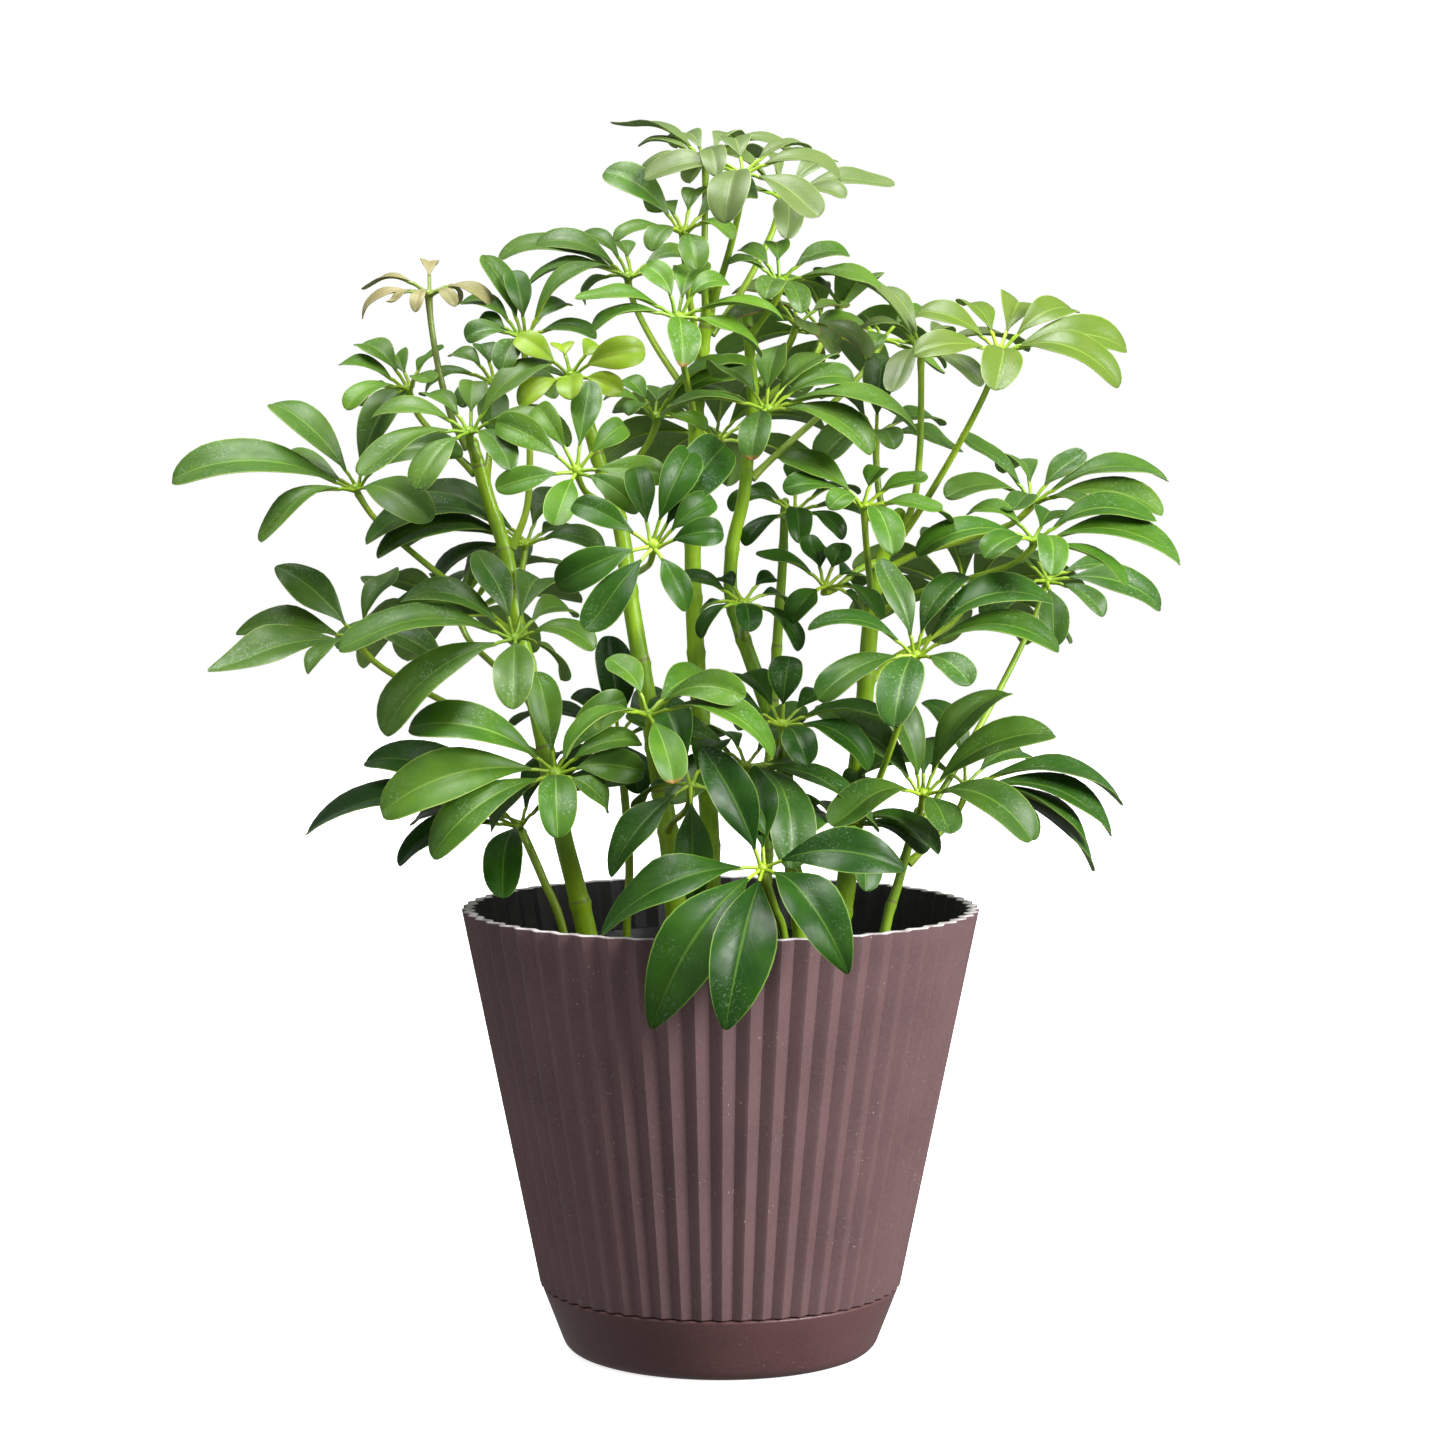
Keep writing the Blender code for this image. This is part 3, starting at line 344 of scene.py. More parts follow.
def pot_moulding():
    """Matte brown outside with dustier crests; painted shade darkens the valleys and paints the inside near
    black; a painted highlight pales the rim's top edge.
    """
    mat, tree, shader, tone = moulded_brown(
        "pot_plastic", (0.126, 0.071, 0.074), rough=0.54, grain=0.5, specks=0.8)
    valley = carried(tree, "valley")
    inner = carried(tree, "inner")
    crest = between(tree, valley, 0.12, 0.0)
    worn = sum_of(tree, "MULTIPLY", crest, between(tree, noise(tree, 240.0, 4.0), 0.4, 0.75, 0.0, 0.4))
    tone = blended(tree, worn, tone, (0.2, 0.13, 0.133))
    # The pleats' valleys are painted darker: painted shade in the recesses.
    tone = blended(tree, between(tree, valley, 0.93, 1.0, 0.0, 0.35), tone, (0.065, 0.036, 0.038))
    place = put(tree, "ShaderNodeTexCoord").outputs["Object"]
    height = put(tree, "ShaderNodeSeparateXYZ", {0: place}).outputs["Z"]
    # A pale band at the rim's top edge, broken up by noise: a painted highlight.
    edge = between(tree, height, *(POT_RIM[1] * MM - below for below in RIM_HIGHLIGHT_BAND))
    rim_highlight = sum_of(tree, "MULTIPLY", edge, between(tree, noise(tree, 150.0, 3.0), 0.3, 0.55, 0.35, 1.0))
    # The inside is painted near black: painted shade inside the pot.
    tone = blended(tree, between(tree, inner, 0.3, 0.7), tone, (0.012, 0.011, 0.012))
    tone = blended(tree, rim_highlight, tone, (0.6, 0.57, 0.56))
    tree.links.new(tone, shader.inputs["Base Color"])
    return mat


def pleat_depths(section):
    """Each point's depth of pleat: none on the plug, and on the inside it fades in from the floor up."""
    foot_r, foot_z = (size * MM for size in POT_FOOT)
    rim_r, rim_z = (size * MM for size in POT_RIM)
    depths = []
    for point in section:
        share = (point.y - foot_z) / (rim_z - foot_z)
        wall = foot_r + (rim_r - foot_r) * share
        depth = PLEAT_DEPTHS[0] + (PLEAT_DEPTHS[1] - PLEAT_DEPTHS[0]) * share
        if point.x > wall - OUTSIDE_BAND and share > -0.01:
            depths.append(depth)
        elif share > 0.0:
            depths.append(depth * min(1.0, share * 3.0))
        else:
            depths.append(0.0)
    return depths


pot_line = rounded_section(POT_SECTION, POT_STEP)
rim_at = max(range(len(pot_line)), key=lambda k: (round(pot_line[k].y, 5), -k))
pot_insides = [1.0 if k > rim_at + RIM_POINTS else 0.0 for k in range(len(pot_line))]
pot = turned_piece(
    "pot_pleated", pot_line, pot_moulding(), pleat_depths(pot_line), pot_insides, PLEAT_CREASE,
    steps_round=PLEATS * PLEAT_STEPS, pleats=PLEATS, first_ridge=PLEAT_TURN, crispness=PLEAT_CRISPNESS)
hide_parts("pot")
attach(pot, "root")


# Nursery pot: the thin black pot that the plant was grown in, set down inside the outer one.
# Its rim is rolled out into a narrow collar, which carries it and gives it stiffness.
NURSERY_SECTION = (
    (0.0, 10.8, 0.0), (53.5, 10.8, 1.5), (89.0, 161.0, 0.5), (93.0, 161.0, 0.7), (93.0, 156.0, 0.5),
    (90.5, 156.0, 0.4), (55.0, 9.3, 2.0), (0.0, 9.3, 0.0))
NURSERY_STEP = 12.0


def black_moulding():
    """Thin black plastic, a little scuffed."""
    mat, tree, shader = surface("nursery_black", (0.012, 0.012, 0.013), 0.45, 0.2)
    scuff = between(tree, noise(tree, 90.0, 5.0), 0.52, 0.75)
    tone = blended(tree, scuff, (0.01, 0.01, 0.011), (0.024, 0.023, 0.023))
    tree.links.new(tone, shader.inputs["Base Color"])
    tree.links.new(between(tree, scuff, 0.0, 1.0, 0.32, 0.6), shader.inputs["Roughness"])
    relief(tree, shader, noise(tree, 700.0), 0.15, 0.1 * MM)
    return mat


nursery = turned_piece("nursery_pot_thin", rounded_section(NURSERY_SECTION, NURSERY_STEP), black_moulding())
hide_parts("nursery_pot")
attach(nursery, "root")


# Potting mix: dark peat with bark crumbs and a little white perlite, filled to below the black pot's rim.
# Its top is uneven and strewn with loose crumbs.
soil_low, soil_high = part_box("soil")
SOIL_FOOT_R = 52.9 * MM
SOIL_TOP_R = (soil_high.x - soil_low.x) / 2.0
SOIL_SECTION = ((0.0, soil_low.z / MM, 0.0), (SOIL_FOOT_R / MM, soil_low.z / MM, 1.0),
                (SOIL_TOP_R / MM, soil_high.z / MM, 1.2), (0.0, soil_high.z / MM, 0.0))
SOIL_STEP = 2.5
SOIL_STEPS_ROUND = 120
CRUMB_DENT = 1.6 * MM


def peat():
    """Dark crumbly mix with brown bark and, in a few crumbs, white perlite."""
    mat, tree, shader = surface("potting_mix", (0.03, 0.018, 0.01), 0.95, 0.25)
    tone = blended(tree, between(tree, noise(tree, 220.0, 6.0, 0.7), 0.3, 0.75), (0.008, 0.006, 0.004),
                   (0.05, 0.03, 0.017))
    crumb = carried(tree, "crumb")
    tone = blended(tree, between(tree, crumb, 0.05, 0.85, 0.0, 0.8), tone, (0.1, 0.058, 0.03))
    tone = blended(tree, between(tree, crumb, 0.955, 0.965), tone, (0.62, 0.6, 0.56))
    tree.links.new(tone, shader.inputs["Base Color"])
    relief(tree, shader, noise(tree, 900.0, 6.0, 0.7), 0.7, 0.5 * MM)
    return mat


def crumb_tree():
    """Roughens a soil body's top and scatters crumbs over it."""
    tree, given, out = new_tree("crumbled soil", (
        ("Top", "Float", 0.144), ("Unevenness", "Float", 0.003), ("Crumbs per m2", "Float", 90000.0),
        ("Crumb Size", "Float", 0.0016), ("Seed", "Int", 7), ("Surface", "Material", None)))
    place = put(tree, "GeometryNodeInputPosition").outputs[0]
    height = put(tree, "ShaderNodeSeparateXYZ", {0: place}).outputs["Z"]
    top = put(tree, "FunctionNodeCompare", {0: height, 1: sum_of(tree, "SUBTRACT", given["Top"], 0.5 * MM)},
              data_type="FLOAT", operation="GREATER_THAN").outputs[0]
    lumps = put(tree, "ShaderNodeTexNoise", {"Vector": place, "Scale": 55.0, "Detail": 5.0}).outputs["Fac"]
    rise = sum_of(tree, "MULTIPLY", sum_of(tree, "SUBTRACT", lumps, 0.5), given["Unevenness"])
    shift = put(tree, "ShaderNodeCombineXYZ", {"Z": rise}).outputs[0]
    body = put(tree, "GeometryNodeSetPosition", {
        "Geometry": given["Geometry"], "Selection": top, "Offset": shift})
    points = put(tree, "GeometryNodeDistributePointsOnFaces", {
        "Mesh": body.outputs[0], "Selection": top, "Density": given["Crumbs per m2"], "Seed": given["Seed"]})
    crumb = put(tree, "GeometryNodeMeshIcoSphere", {"Radius": given["Crumb Size"], "Subdivisions": 1})
    wobble = put(tree, "ShaderNodeTexNoise", {"Scale": 900.0, "Detail": 1.0}).outputs["Color"]
    dent = put(tree, "ShaderNodeVectorMath", {0: wobble, 1: (0.5, 0.5, 0.5)}, operation="SUBTRACT").outputs[0]
    dent = put(tree, "ShaderNodeVectorMath", {0: dent, "Scale": CRUMB_DENT}, operation="SCALE").outputs[0]
    crumb = put(tree, "GeometryNodeSetPosition", {"Geometry": crumb.outputs["Mesh"], "Offset": dent})

    def drawn(seed, kind, **ends):
        node = put(tree, "FunctionNodeRandomValue", {**ends, "Seed": seed}, data_type=kind)
        return live(node.outputs, "Value")

    strewn = put(tree, "GeometryNodeInstanceOnPoints", {
        "Points": points.outputs["Points"], "Instance": crumb.outputs[0],
        "Rotation": drawn(5, "FLOAT_VECTOR", Min=(0.0, 0.0, 0.0), Max=(math.tau,) * 3),
        "Scale": drawn(3, "FLOAT_VECTOR", Min=(0.25, 0.25, 0.15), Max=(1.5, 1.2, 0.8))})
    toned = noted(tree, strewn.outputs[0], "crumb", drawn(11, "FLOAT"), "INSTANCE")
    both = put(tree, "GeometryNodeJoinGeometry")
    tree.links.new(toned, both.inputs[0])
    tree.links.new(body.outputs[0], both.inputs[0])
    ended(tree, both.outputs[0], given["Surface"], out)
    return tree


potting_mix = peat()
soil_line = rounded_section(SOIL_SECTION, SOIL_STEP)
soil = turned_piece("soil_mix", soil_line, potting_mix, steps_round=SOIL_STEPS_ROUND)
grown(soil, crumb_tree(), top=soil_high.z, surface=potting_mix)
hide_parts("soil")
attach(soil, "root")


# Stems: smooth green wood, five thick ones and two thin shoots, each rooted in the mix.
# A ring swells where each leaf grows or grew, with a brown scar line, and pale pores dot the bark.
LEAF_NAMES = sorted(name for name in frame["nodes"] if name.startswith("leaf_"))
STEM_NAMES = sorted(name for name in frame["nodes"] if name.startswith(("stem_", "shoot_")))
STEM_CORNERS = 6
STEM_STEP = 2.0 * MM
STEM_SWELL = 1.06
STEM_R = 3.5 * MM
LEAF_REACH = 1.2 * MM
LOWEST_RING = 34.0 * MM
RINGS_APART = (17.0, 30.0)
RING_CLEAR = 9.0 * MM
RING_HALF = 1.7 * MM
RING_RISE = 0.55 * MM
SCAR_HALF = 0.8 * MM
SCAR_ABOVE = 1.6 * MM
FOOT_POINTS = 8
STEM_SIDES = 16
ROUND_TIP = ((0.5, 0.8), (0.85, 0.3))


def merged(node):
    """A solid's mesh with its doubled corners merged."""
    bm = bmesh.new()
    bm.from_mesh(frame["nodes"][node].data)
    bmesh.ops.remove_doubles(bm, verts=bm.verts[:], dist=SAME_PLACE)
    return bm


def ring_line(rings):
    """Middles and mean radii of rings of corners."""
    line = []
    for ring in rings:
        middle = sum(ring, Vector()) / len(ring)
        line.append((middle, sum((p - middle).length for p in ring) / len(ring)))
    return line


def smooth_line(line, step):
    """A line of (point, radius) as a smooth curve through the same points."""
    fine = []
    for k in range(len(line) - 1):
        a, b, c, d = (line[min(max(j, 0), len(line) - 1)] for j in (k - 1, k, k + 1, k + 2))
        runs = max(1, round((c[0] - b[0]).length / step))
        for j in range(runs):
            t = j / runs
            shares = (-t / 2 + t * t - t ** 3 / 2, 1 - 2.5 * t * t + 1.5 * t ** 3,
                      t / 2 + 2 * t * t - 1.5 * t ** 3, t * t * (t - 1) / 2)
            point = sum((row[0] * w for row, w in zip((a, b, c, d), shares)), Vector())
            fine.append((point, b[1] + (c[1] - b[1]) * t))
    return fine + [line[-1]]


def stalk_tree():
    """Gives loose edges a round skin of their own radius, and closes and joins what faces there are."""
    tree, given, out = new_tree("stalk skin", (("Corners", "Int", 8), ("Bark", "Material", None)))
    parts = put(tree, "GeometryNodeSeparateGeometry", {
        "Geometry": given["Geometry"], "Selection": named(tree, "stalk", "BOOLEAN")}, domain="POINT")
    line = put(tree, "GeometryNodeMeshToCurve", {"Mesh": parts.outputs["Selection"]})
    ring = put(tree, "GeometryNodeCurvePrimitiveCircle", {"Resolution": given["Corners"], "Radius": 1.0})
    skin = put(tree, "GeometryNodeCurveToMesh", {
        "Curve": line.outputs[0], "Profile Curve": ring.outputs["Curve"], "Scale": named(tree, "girth"),
        "Fill Caps": True})
    skin = put(tree, "GeometryNodeSetMaterial", {"Geometry": skin.outputs[0], "Material": given["Bark"]})
    both = put(tree, "GeometryNodeJoinGeometry")
    tree.links.new(skin.outputs[0], both.inputs[0])
    tree.links.new(parts.outputs["Inverted"], both.inputs[0])
    real = put(tree, "GeometryNodeRealizeInstances", {"Geometry": both.outputs[0]})
    tree.links.new(real.outputs[0], out)
    return tree


stalk_skin = stalk_tree()


class Growth:
    """A mesh in the making: faces of blades, and stalks as loose edges with a girth at each point."""

    def __init__(self):
        self.points, self.edges, self.faces, self.maps = [], [], [], []
        self.facts = {"girth": [], "stalk": [], "tone": [], "under": [], "mark": []}

    def point(self, place, girth=0.0, tone=0.5, under=0.0, mark=0.0):
        """Adds a point with its facts and gives its number."""
        self.points.append(place)
        for key, value in (("girth", girth), ("stalk", girth > 0.0), ("tone", tone), ("under", under),
                           ("mark", mark)):
            self.facts[key].append(value)
        return len(self.points) - 1

    def stalk(self, line, tone, marks=None):
        """Adds a stalk along a line of (place, girth)."""
        marks = marks or [0.0] * len(line)
        ids = [self.point(place, girth, tone, mark=mark) for (place, girth), mark in zip(line, marks)]
        self.edges += list(zip(ids, ids[1:]))

    def object(self, name, materials):
        """The object of all that was added."""
        mesh = bpy.data.meshes.new(name)
        mesh.from_pydata(self.points, self.edges, self.faces)
        for key, values in self.facts.items():
            kind = "BOOLEAN" if key == "stalk" else "FLOAT"
            mesh.attributes.new(key, kind, "POINT").data.foreach_set("value", values)
        if self.maps:
            blade_map = mesh.uv_layers.new(name="blade")
            blade_map.data.foreach_set("uv", [n for corner in self.maps for n in corner])
        for mat in materials:
            mesh.materials.append(mat)
        obj = bpy.data.objects.new(name, mesh)
        bpy.context.scene.collection.objects.link(obj)
        return obj


def green_bark(name, light, dark, pores):
    """Green bark: mottled along the stem, brown at the scars, with pale pores."""
    mat, tree, shader = surface(name, light, 0.38)
    mottle = between(tree, noise(tree, 38.0, 4.0, 0.6, (1.0, 1.0, 0.45)), 0.36, 0.66)
    tone = blended(tree, mottle, dark, light)
    streak = between(tree, noise(tree, 420.0, 3.0, 0.6, (1.0, 1.0, 0.12)), 0.4, 0.8, 0.0, 0.45)
    tone = blended(tree, streak, tone, [c * 1.2 for c in light])
    pore = between(tree, noise(tree, 520.0, 1.0, 0.5, (1.0, 1.0, 0.4)), 0.74, 0.79, 0.0, pores)
    tone = blended(tree, pore, tone, (0.5, 0.56, 0.32))
    scar = between(tree, carried(tree, "mark"), 0.35, 1.0, 0.0, 0.75)
    tone = blended(tree, scar, tone, (0.16, 0.12, 0.05))
    tree.links.new(tone, shader.inputs["Base Color"])
    tree.links.new(between(tree, mottle, 0.0, 1.0, 0.46, 0.32), shader.inputs["Roughness"])
    relief(tree, shader, noise(tree, 420.0, 3.0, 0.6, (1.0, 1.0, 0.12)), 0.25, 0.25 * MM)
    return mat


BARK = {
    "stem": green_bark("green_bark", (0.38, 0.62, 0.018), (0.15, 0.32, 0.009), 0.5),
    "shoot": green_bark("green_shoot_bark", (0.31, 0.5, 0.03), (0.14, 0.28, 0.015), 0.3),
}


def corners_by_leaf():
    """All corners of each leaf's solid, in which a stem finds the leaves that grow from it."""
    corners = []
    for name in LEAF_NAMES:
        bm = merged(name)
        corners.append([v.co.copy() for v in bm.verts])
        bm.free()
    return corners


def stem_piece(name, leaf_corners):
    """A stem in its solid's place, with rings and scars at its leaves and where leaves have dropped."""
    bm = merged(name)
    corners = sorted((v.co.copy() for v in bm.verts), key=lambda p: p.z)
    bm.free()
    rings = [corners[k:k + STEM_CORNERS] for k in range(0, len(corners), STEM_CORNERS)]
    line = smooth_line(ring_line(rings), STEM_STEP)
    rng = random.Random(name)
    scars = []
    for points in leaf_corners:
        near = min((min((p - place).length - girth for place, girth in line[FOOT_POINTS:]), p.z)
                   for p in points)
        if near[0] < LEAF_REACH:
            scars.append(near[1])
    height = line[0][0].z + LOWEST_RING
    while height < line[-1][0].z:
        if all(abs(height - scar) > RING_CLEAR for scar in scars):
            scars.append(height)
        height += rng.uniform(*RINGS_APART) * MM
    swollen, marks = [], []
    for place, girth in line:
        swell = sum(math.exp(-((place.z - scar) / RING_HALF) ** 2) for scar in scars)
        mark = sum(math.exp(-((place.z - scar - SCAR_ABOVE) / SCAR_HALF) ** 2) for scar in scars)
        swollen.append((place, girth * STEM_SWELL + RING_RISE * min(swell, 1.0) * girth / STEM_R))
        marks.append(min(1.0, mark))
    tip, girth = swollen[-1]
    along = (tip - swollen[-2][0]).normalized()
    swollen += [(tip + along * girth * out, girth * share) for out, share in ROUND_TIP]
    marks += [0.0] * len(ROUND_TIP)
    growth = Growth()
    growth.stalk(swollen, rng.random(), marks)
    kind = "stem" if name.startswith("stem_") else "shoot"
    obj = growth.object(name + "_bark", [BARK[kind]])
    grown(obj, stalk_skin, corners=STEM_SIDES, bark=BARK[kind])
    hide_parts(name)
    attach(obj, "root")


leaf_corners = corners_by_leaf()
for stem_name in STEM_NAMES:
    stem_piece(stem_name, leaf_corners)


# Leaves: each is a ring of leathery leaflets round a hub, on its own petiole from the stem or the mix.
# A leaflet is a glossy trough that arches over to a blunt tip, with a pale midrib and a pale fine margin.
HUB_SIDE = 1.7 * MM
LEAFLET_CORNERS = 13
RING_SHARES = (0.0, 0.46, 0.85, 1.0)
BLADE_ROWS = 19
BLADE_COLUMNS = (-1.0, -0.87, -0.6, -0.27, 0.0, 0.27, 0.6, 0.87, 1.0)
BLADE_HALF_THICK = 0.28 * MM
BASE_WIDTH = 0.05
BROADEST = 0.62
TROUGH = 0.5
EDGE_DROP = 0.25
LEAN = 0.08
MOVE_RISE = 5.0
TWIST = 0.12
TURNED = 0.7
TURNED_SHARE = 0.09
WAVES = 9.0
WAVE_SIZE = (0.02, 0.07)
LIMP = 4.0 * MM
TIP_DROP = 0.9 * MM
TIP_FROM = 0.8
TIP_LENGTH = 0.2
CURL_FROM = 0.7
CURL_LENGTH = 0.3
CURLED_SHARE = 0.16
PETIOLULE_RINGS = 4
BARE_ROWS = 4
PETIOLE_STEP = 3.0 * MM
PETIOLE_SIDES = 8
LEAF_CREASE = 50.0
WELD = 0.002 * MM
# These are in mm. A row of the hub's profile is (height over its middle, share of its radius).
DROOP = (-0.5, 1.6)
CURL = (2.0, 6.0)
PETIOLULE_R = 0.85
MIDRIB_R = 0.72
MIDRIB_END_R = 0.16
PETIOLE_TOP = 3.4
HUB_PROFILE = ((1.7, 0.35), (1.2, 0.8), (0.3, 1.08), (-0.8, 1.08), (-2.0, 0.8))
# A leaf is painted lighter the higher it stands in the foliage, as painted shade low down, and a few have a
# look of their own.
FOLIAGE_LOW = 190.0 * MM
TONE_LOW = 0.06
PAINTED_SHADE_RISE = 0.64
# The low front leaves, which take the dark skin as painted shade.
SHADED = ("leaf_pot_front", "leaf_front_rosette")
POINTED = ("leaf_pot_front", "leaf_low_centre", "leaf_left_low")
POINTEDNESS = 0.7
DRY_TIPPED = ("leaf_mid_centre", "leaf_upper_centre", "leaf_centre_right_front")


def joined_groups(verts, joins):
    """Corners in groups that edges join, of those edges that joins allows."""
    left, groups = set(verts), []
    while left:
        first = min(left, key=lambda v: v.index)
        group, edge = {first}, [first]
        while edge:
            for e in edge.pop().link_edges:
                for v in e.verts:
                    if v in left and v not in group and joins(e):
                        group.add(v)
                        edge.append(v)
        left -= group
        groups.append(group)
    return groups


def leaf_parts(node):
    """The hub, the petiole and the leaflets of a leaf's solid, each as rings of corners from the hub out."""
    bm = merged(node)
    rounds = joined_groups(bm.verts, lambda e: abs(e.calc_length() - HUB_SIDE) < SAME_PLACE)
    hub = set().union(*sorted(rounds, key=len)[-2:])
    groups = joined_groups(set(bm.verts) - hub, lambda e: True)
    petiole, leaflets, hub_low = [], [], []
    for group in groups:
        ring = {v for v in group if any(e.other_vert(v) in hub for e in v.link_edges)}
        touched = [v for v in hub if any(e.other_vert(v) in group for e in v.link_edges)]
        rings, done = [], set()
        while ring:
            rings.append([v.co.copy() for v in ring])
            done |= ring
            ring = {e.other_vert(v) for v in ring for e in v.link_edges} & group - done
        if len(group) == LEAFLET_CORNERS:
            leaflets.append((sum((v.co for v in touched), Vector()) / len(touched), rings))
        else:
            petiole, hub_low = rings, [v.co.copy() for v in touched]
    centre = sum((v.co for v in hub), Vector()) / len(hub)
    facing = (centre - sum(hub_low, Vector()) / len(hub_low)).normalized()
    bm.free()
    return centre, facing, petiole, leaflets


def across_ring(ring, along, facing):
    """Middle, direction across and half width of a leaflet's ring of four corners."""
    left, right = max(((a, b) for a in ring for b in ring), key=lambda pair: (pair[0] - pair[1]).length)
    others = [p for p in ring if p not in (left, right)]
    side = (right - left) / 2.0
    if side.dot(facing.cross(along)) < 0.0:
        side = -side
    return sum(others, Vector()) / len(others), side.normalized(), side.length


def along_cubic(points, t):
    """The cubic through four points at RING_SHARES."""
    result = Vector()
    for j, point in enumerate(points):
        weight = 1.0
        for k, share in enumerate(RING_SHARES):
            if k != j:
                weight *= (t - share) / (RING_SHARES[j] - share)
        result += point * weight
    return result


def outline_share(t, pointed):
    """A leaflet's width along its length: a wedge at its base, broadest past its middle, then its tip."""
    base = math.sin(min(t / (BROADEST - 0.1 * pointed), 1.0) * math.pi / 2.0) ** 1.2
    fall = 3.8 - 2.2 * pointed
    end = 1.0 if t < 0.5 else max(0.0, 1.0 - ((t - 0.5) / 0.5) ** fall) ** (0.5 + 0.42 * pointed)
    return BASE_WIDTH + base * end if t < 1.0 else 0.0


def kept_inside(growth, lines, ribs):
    """Moves a blade that would pass the plant's box at the right, the back or the top in again."""
    furthest = [max(growth.points[i][axis] for line, t in lines for i in line) for axis in range(3)]
    over = Vector([max(0.0, furthest[axis] - cad_box[1][axis]) for axis in range(3)])

    def moved(place, t):
        return place - over * min(1.0, MOVE_RISE * t)

    for line, t in lines:
        for i in line:
            growth.points[i] = moved(growth.points[i], t)
    return [(moved(place, t), upper, t) for place, upper, t in ribs]


def skin_blade(growth, ids):
    """Faces on both sides of a blade and along its two edges, with a map of length and breadth."""
    last = len(BLADE_COLUMNS) - 1
    for face in (1, -1):
        for (low, t_low), (high, t_high) in zip(ids[face], ids[face][1:]):
            for k in range(last):
                quad = [low[k], low[k + 1], high[k + 1], high[k]]
                corner_map = [(t_low, BLADE_COLUMNS[k]), (t_low, BLADE_COLUMNS[k + 1]),
                              (t_high, BLADE_COLUMNS[k + 1]), (t_high, BLADE_COLUMNS[k])]
                if face == -1:
                    quad.reverse()
                    corner_map.reverse()
                growth.faces.append(quad)
                growth.maps += [(t, 0.5 + v / 2.0) for t, v in corner_map]
    for edge in (0, last):
        for r in range(BLADE_ROWS - 1):
            (top_low, t_low), (top_high, t_high) = ids[1][r], ids[1][r + 1]
            under_low, under_high = ids[-1][r][0], ids[-1][r + 1][0]
            quad = [top_low[edge], top_high[edge], under_high[edge], under_low[edge]]
            v = 0.5 + BLADE_COLUMNS[edge] / 2.0
            corner_map = [(t_low, v), (t_high, v), (t_high, v), (t_low, v)]
            if edge == last:
                quad.reverse()
                corner_map.reverse()
            growth.faces.append(quad)
            growth.maps += corner_map


def leaflet_stalk(begin, foot, ribs):
    """A leaflet's petiolule, waisted, and the midrib that stands out below its blade."""
    stalk = []
    for k in range(PETIOLULE_RINGS):
        share = k / PETIOLULE_RINGS
        waist = 1.15 - 0.35 * math.sin(math.pi * share)
        stalk.append((begin.lerp(foot, share), waist * PETIOLULE_R * MM))
    for place, upper, t in ribs[:-BARE_ROWS]:
        girth = max(MIDRIB_END_R, MIDRIB_R * (1.0 - t)) * MM
        stalk.append((place - upper * (girth * 0.8 + 0.06 * MM * (1.0 - t)), girth))
    return stalk


def add_leaflet(growth, begin, rings, facing, tone, pointed, dry, limp, rng):
    """One leaflet: its petiolule, which goes on as the midrib below, and its blade.

    pointed, dry and limp say how far its tip narrows, whether it is withered and how much it hangs.
    """
    tip = rings[3][0]
    foot = sum(rings[0], Vector()) / 4.0
    along = (tip - foot).normalized()
    middle, side, half_width = across_ring(rings[1], along, facing)
    outer, outer_side = across_ring(rings[2], along, facing)[:2]
    points = (foot, middle, outer, tip)
    pointed = min(1.0, pointed + rng.uniform(0.0, 0.25))
    twist = rng.gauss(0.0, TWIST) + (rng.choice((-TURNED, TURNED)) if rng.random() < TURNED_SHARE else 0.0)
    wave = rng.uniform(0.0, math.tau)
    wave_size = rng.uniform(*WAVE_SIZE) * (1.0 + pointed)
    droop = rng.uniform(*DROOP) * MM + limp
    lean = rng.uniform(-LEAN, LEAN)
    curl = rng.uniform(*CURL) * MM if rng.random() < CURLED_SHARE else 0.0
    ids = {1: [], -1: []}
    ribs = []
    for row in range(BLADE_ROWS):
        t = (1.0 - math.cos(math.pi * row / (BLADE_ROWS - 1))) / 2.0
        place = along_cubic(points, t)
        before, after = max(t - 0.02, 0.0), min(t + 0.02, 1.0)
        way = (along_cubic(points, after) - along_cubic(points, before)).normalized()
        past_middle = (t - RING_SHARES[1]) / (RING_SHARES[2] - RING_SHARES[1])
        turn = side.lerp(outer_side, min(max(past_middle, 0.0), 1.0))
        turn = Matrix.Rotation(twist * t * t, 3, way) @ (turn - way * turn.dot(way)).normalized()
        upper = way.cross(turn).normalized()
        bend = (droop * t * t + TIP_DROP * max(0.0, t - TIP_FROM) / TIP_LENGTH
                - curl * (max(0.0, t - CURL_FROM) / CURL_LENGTH) ** 2)
        place = place - upper * bend
        half = half_width * outline_share(t, pointed)
        ribs.append((place, upper, t))
        for face in (1, -1):
            line = []
            for v in BLADE_COLUMNS:
                shape = TROUGH * abs(v) - EDGE_DROP * v * v
                ripple = wave_size * math.sin(wave + WAVES * t + 1.5 * v) * v * v
                spot = (place + turn * (v * half * (1.0 + lean * v)) + upper * (half * (shape + ripple))
                        + upper * (face * BLADE_HALF_THICK * (1.0 - 0.6 * v * v)))
                line.append(growth.point(spot, tone=tone, under=0.0 if face == 1 else 1.0, mark=dry))
            ids[face].append((line, t))
    ribs = kept_inside(growth, ids[1] + ids[-1], ribs)
    skin_blade(growth, ids)
    growth.stalk(leaflet_stalk(begin, foot, ribs), tone)


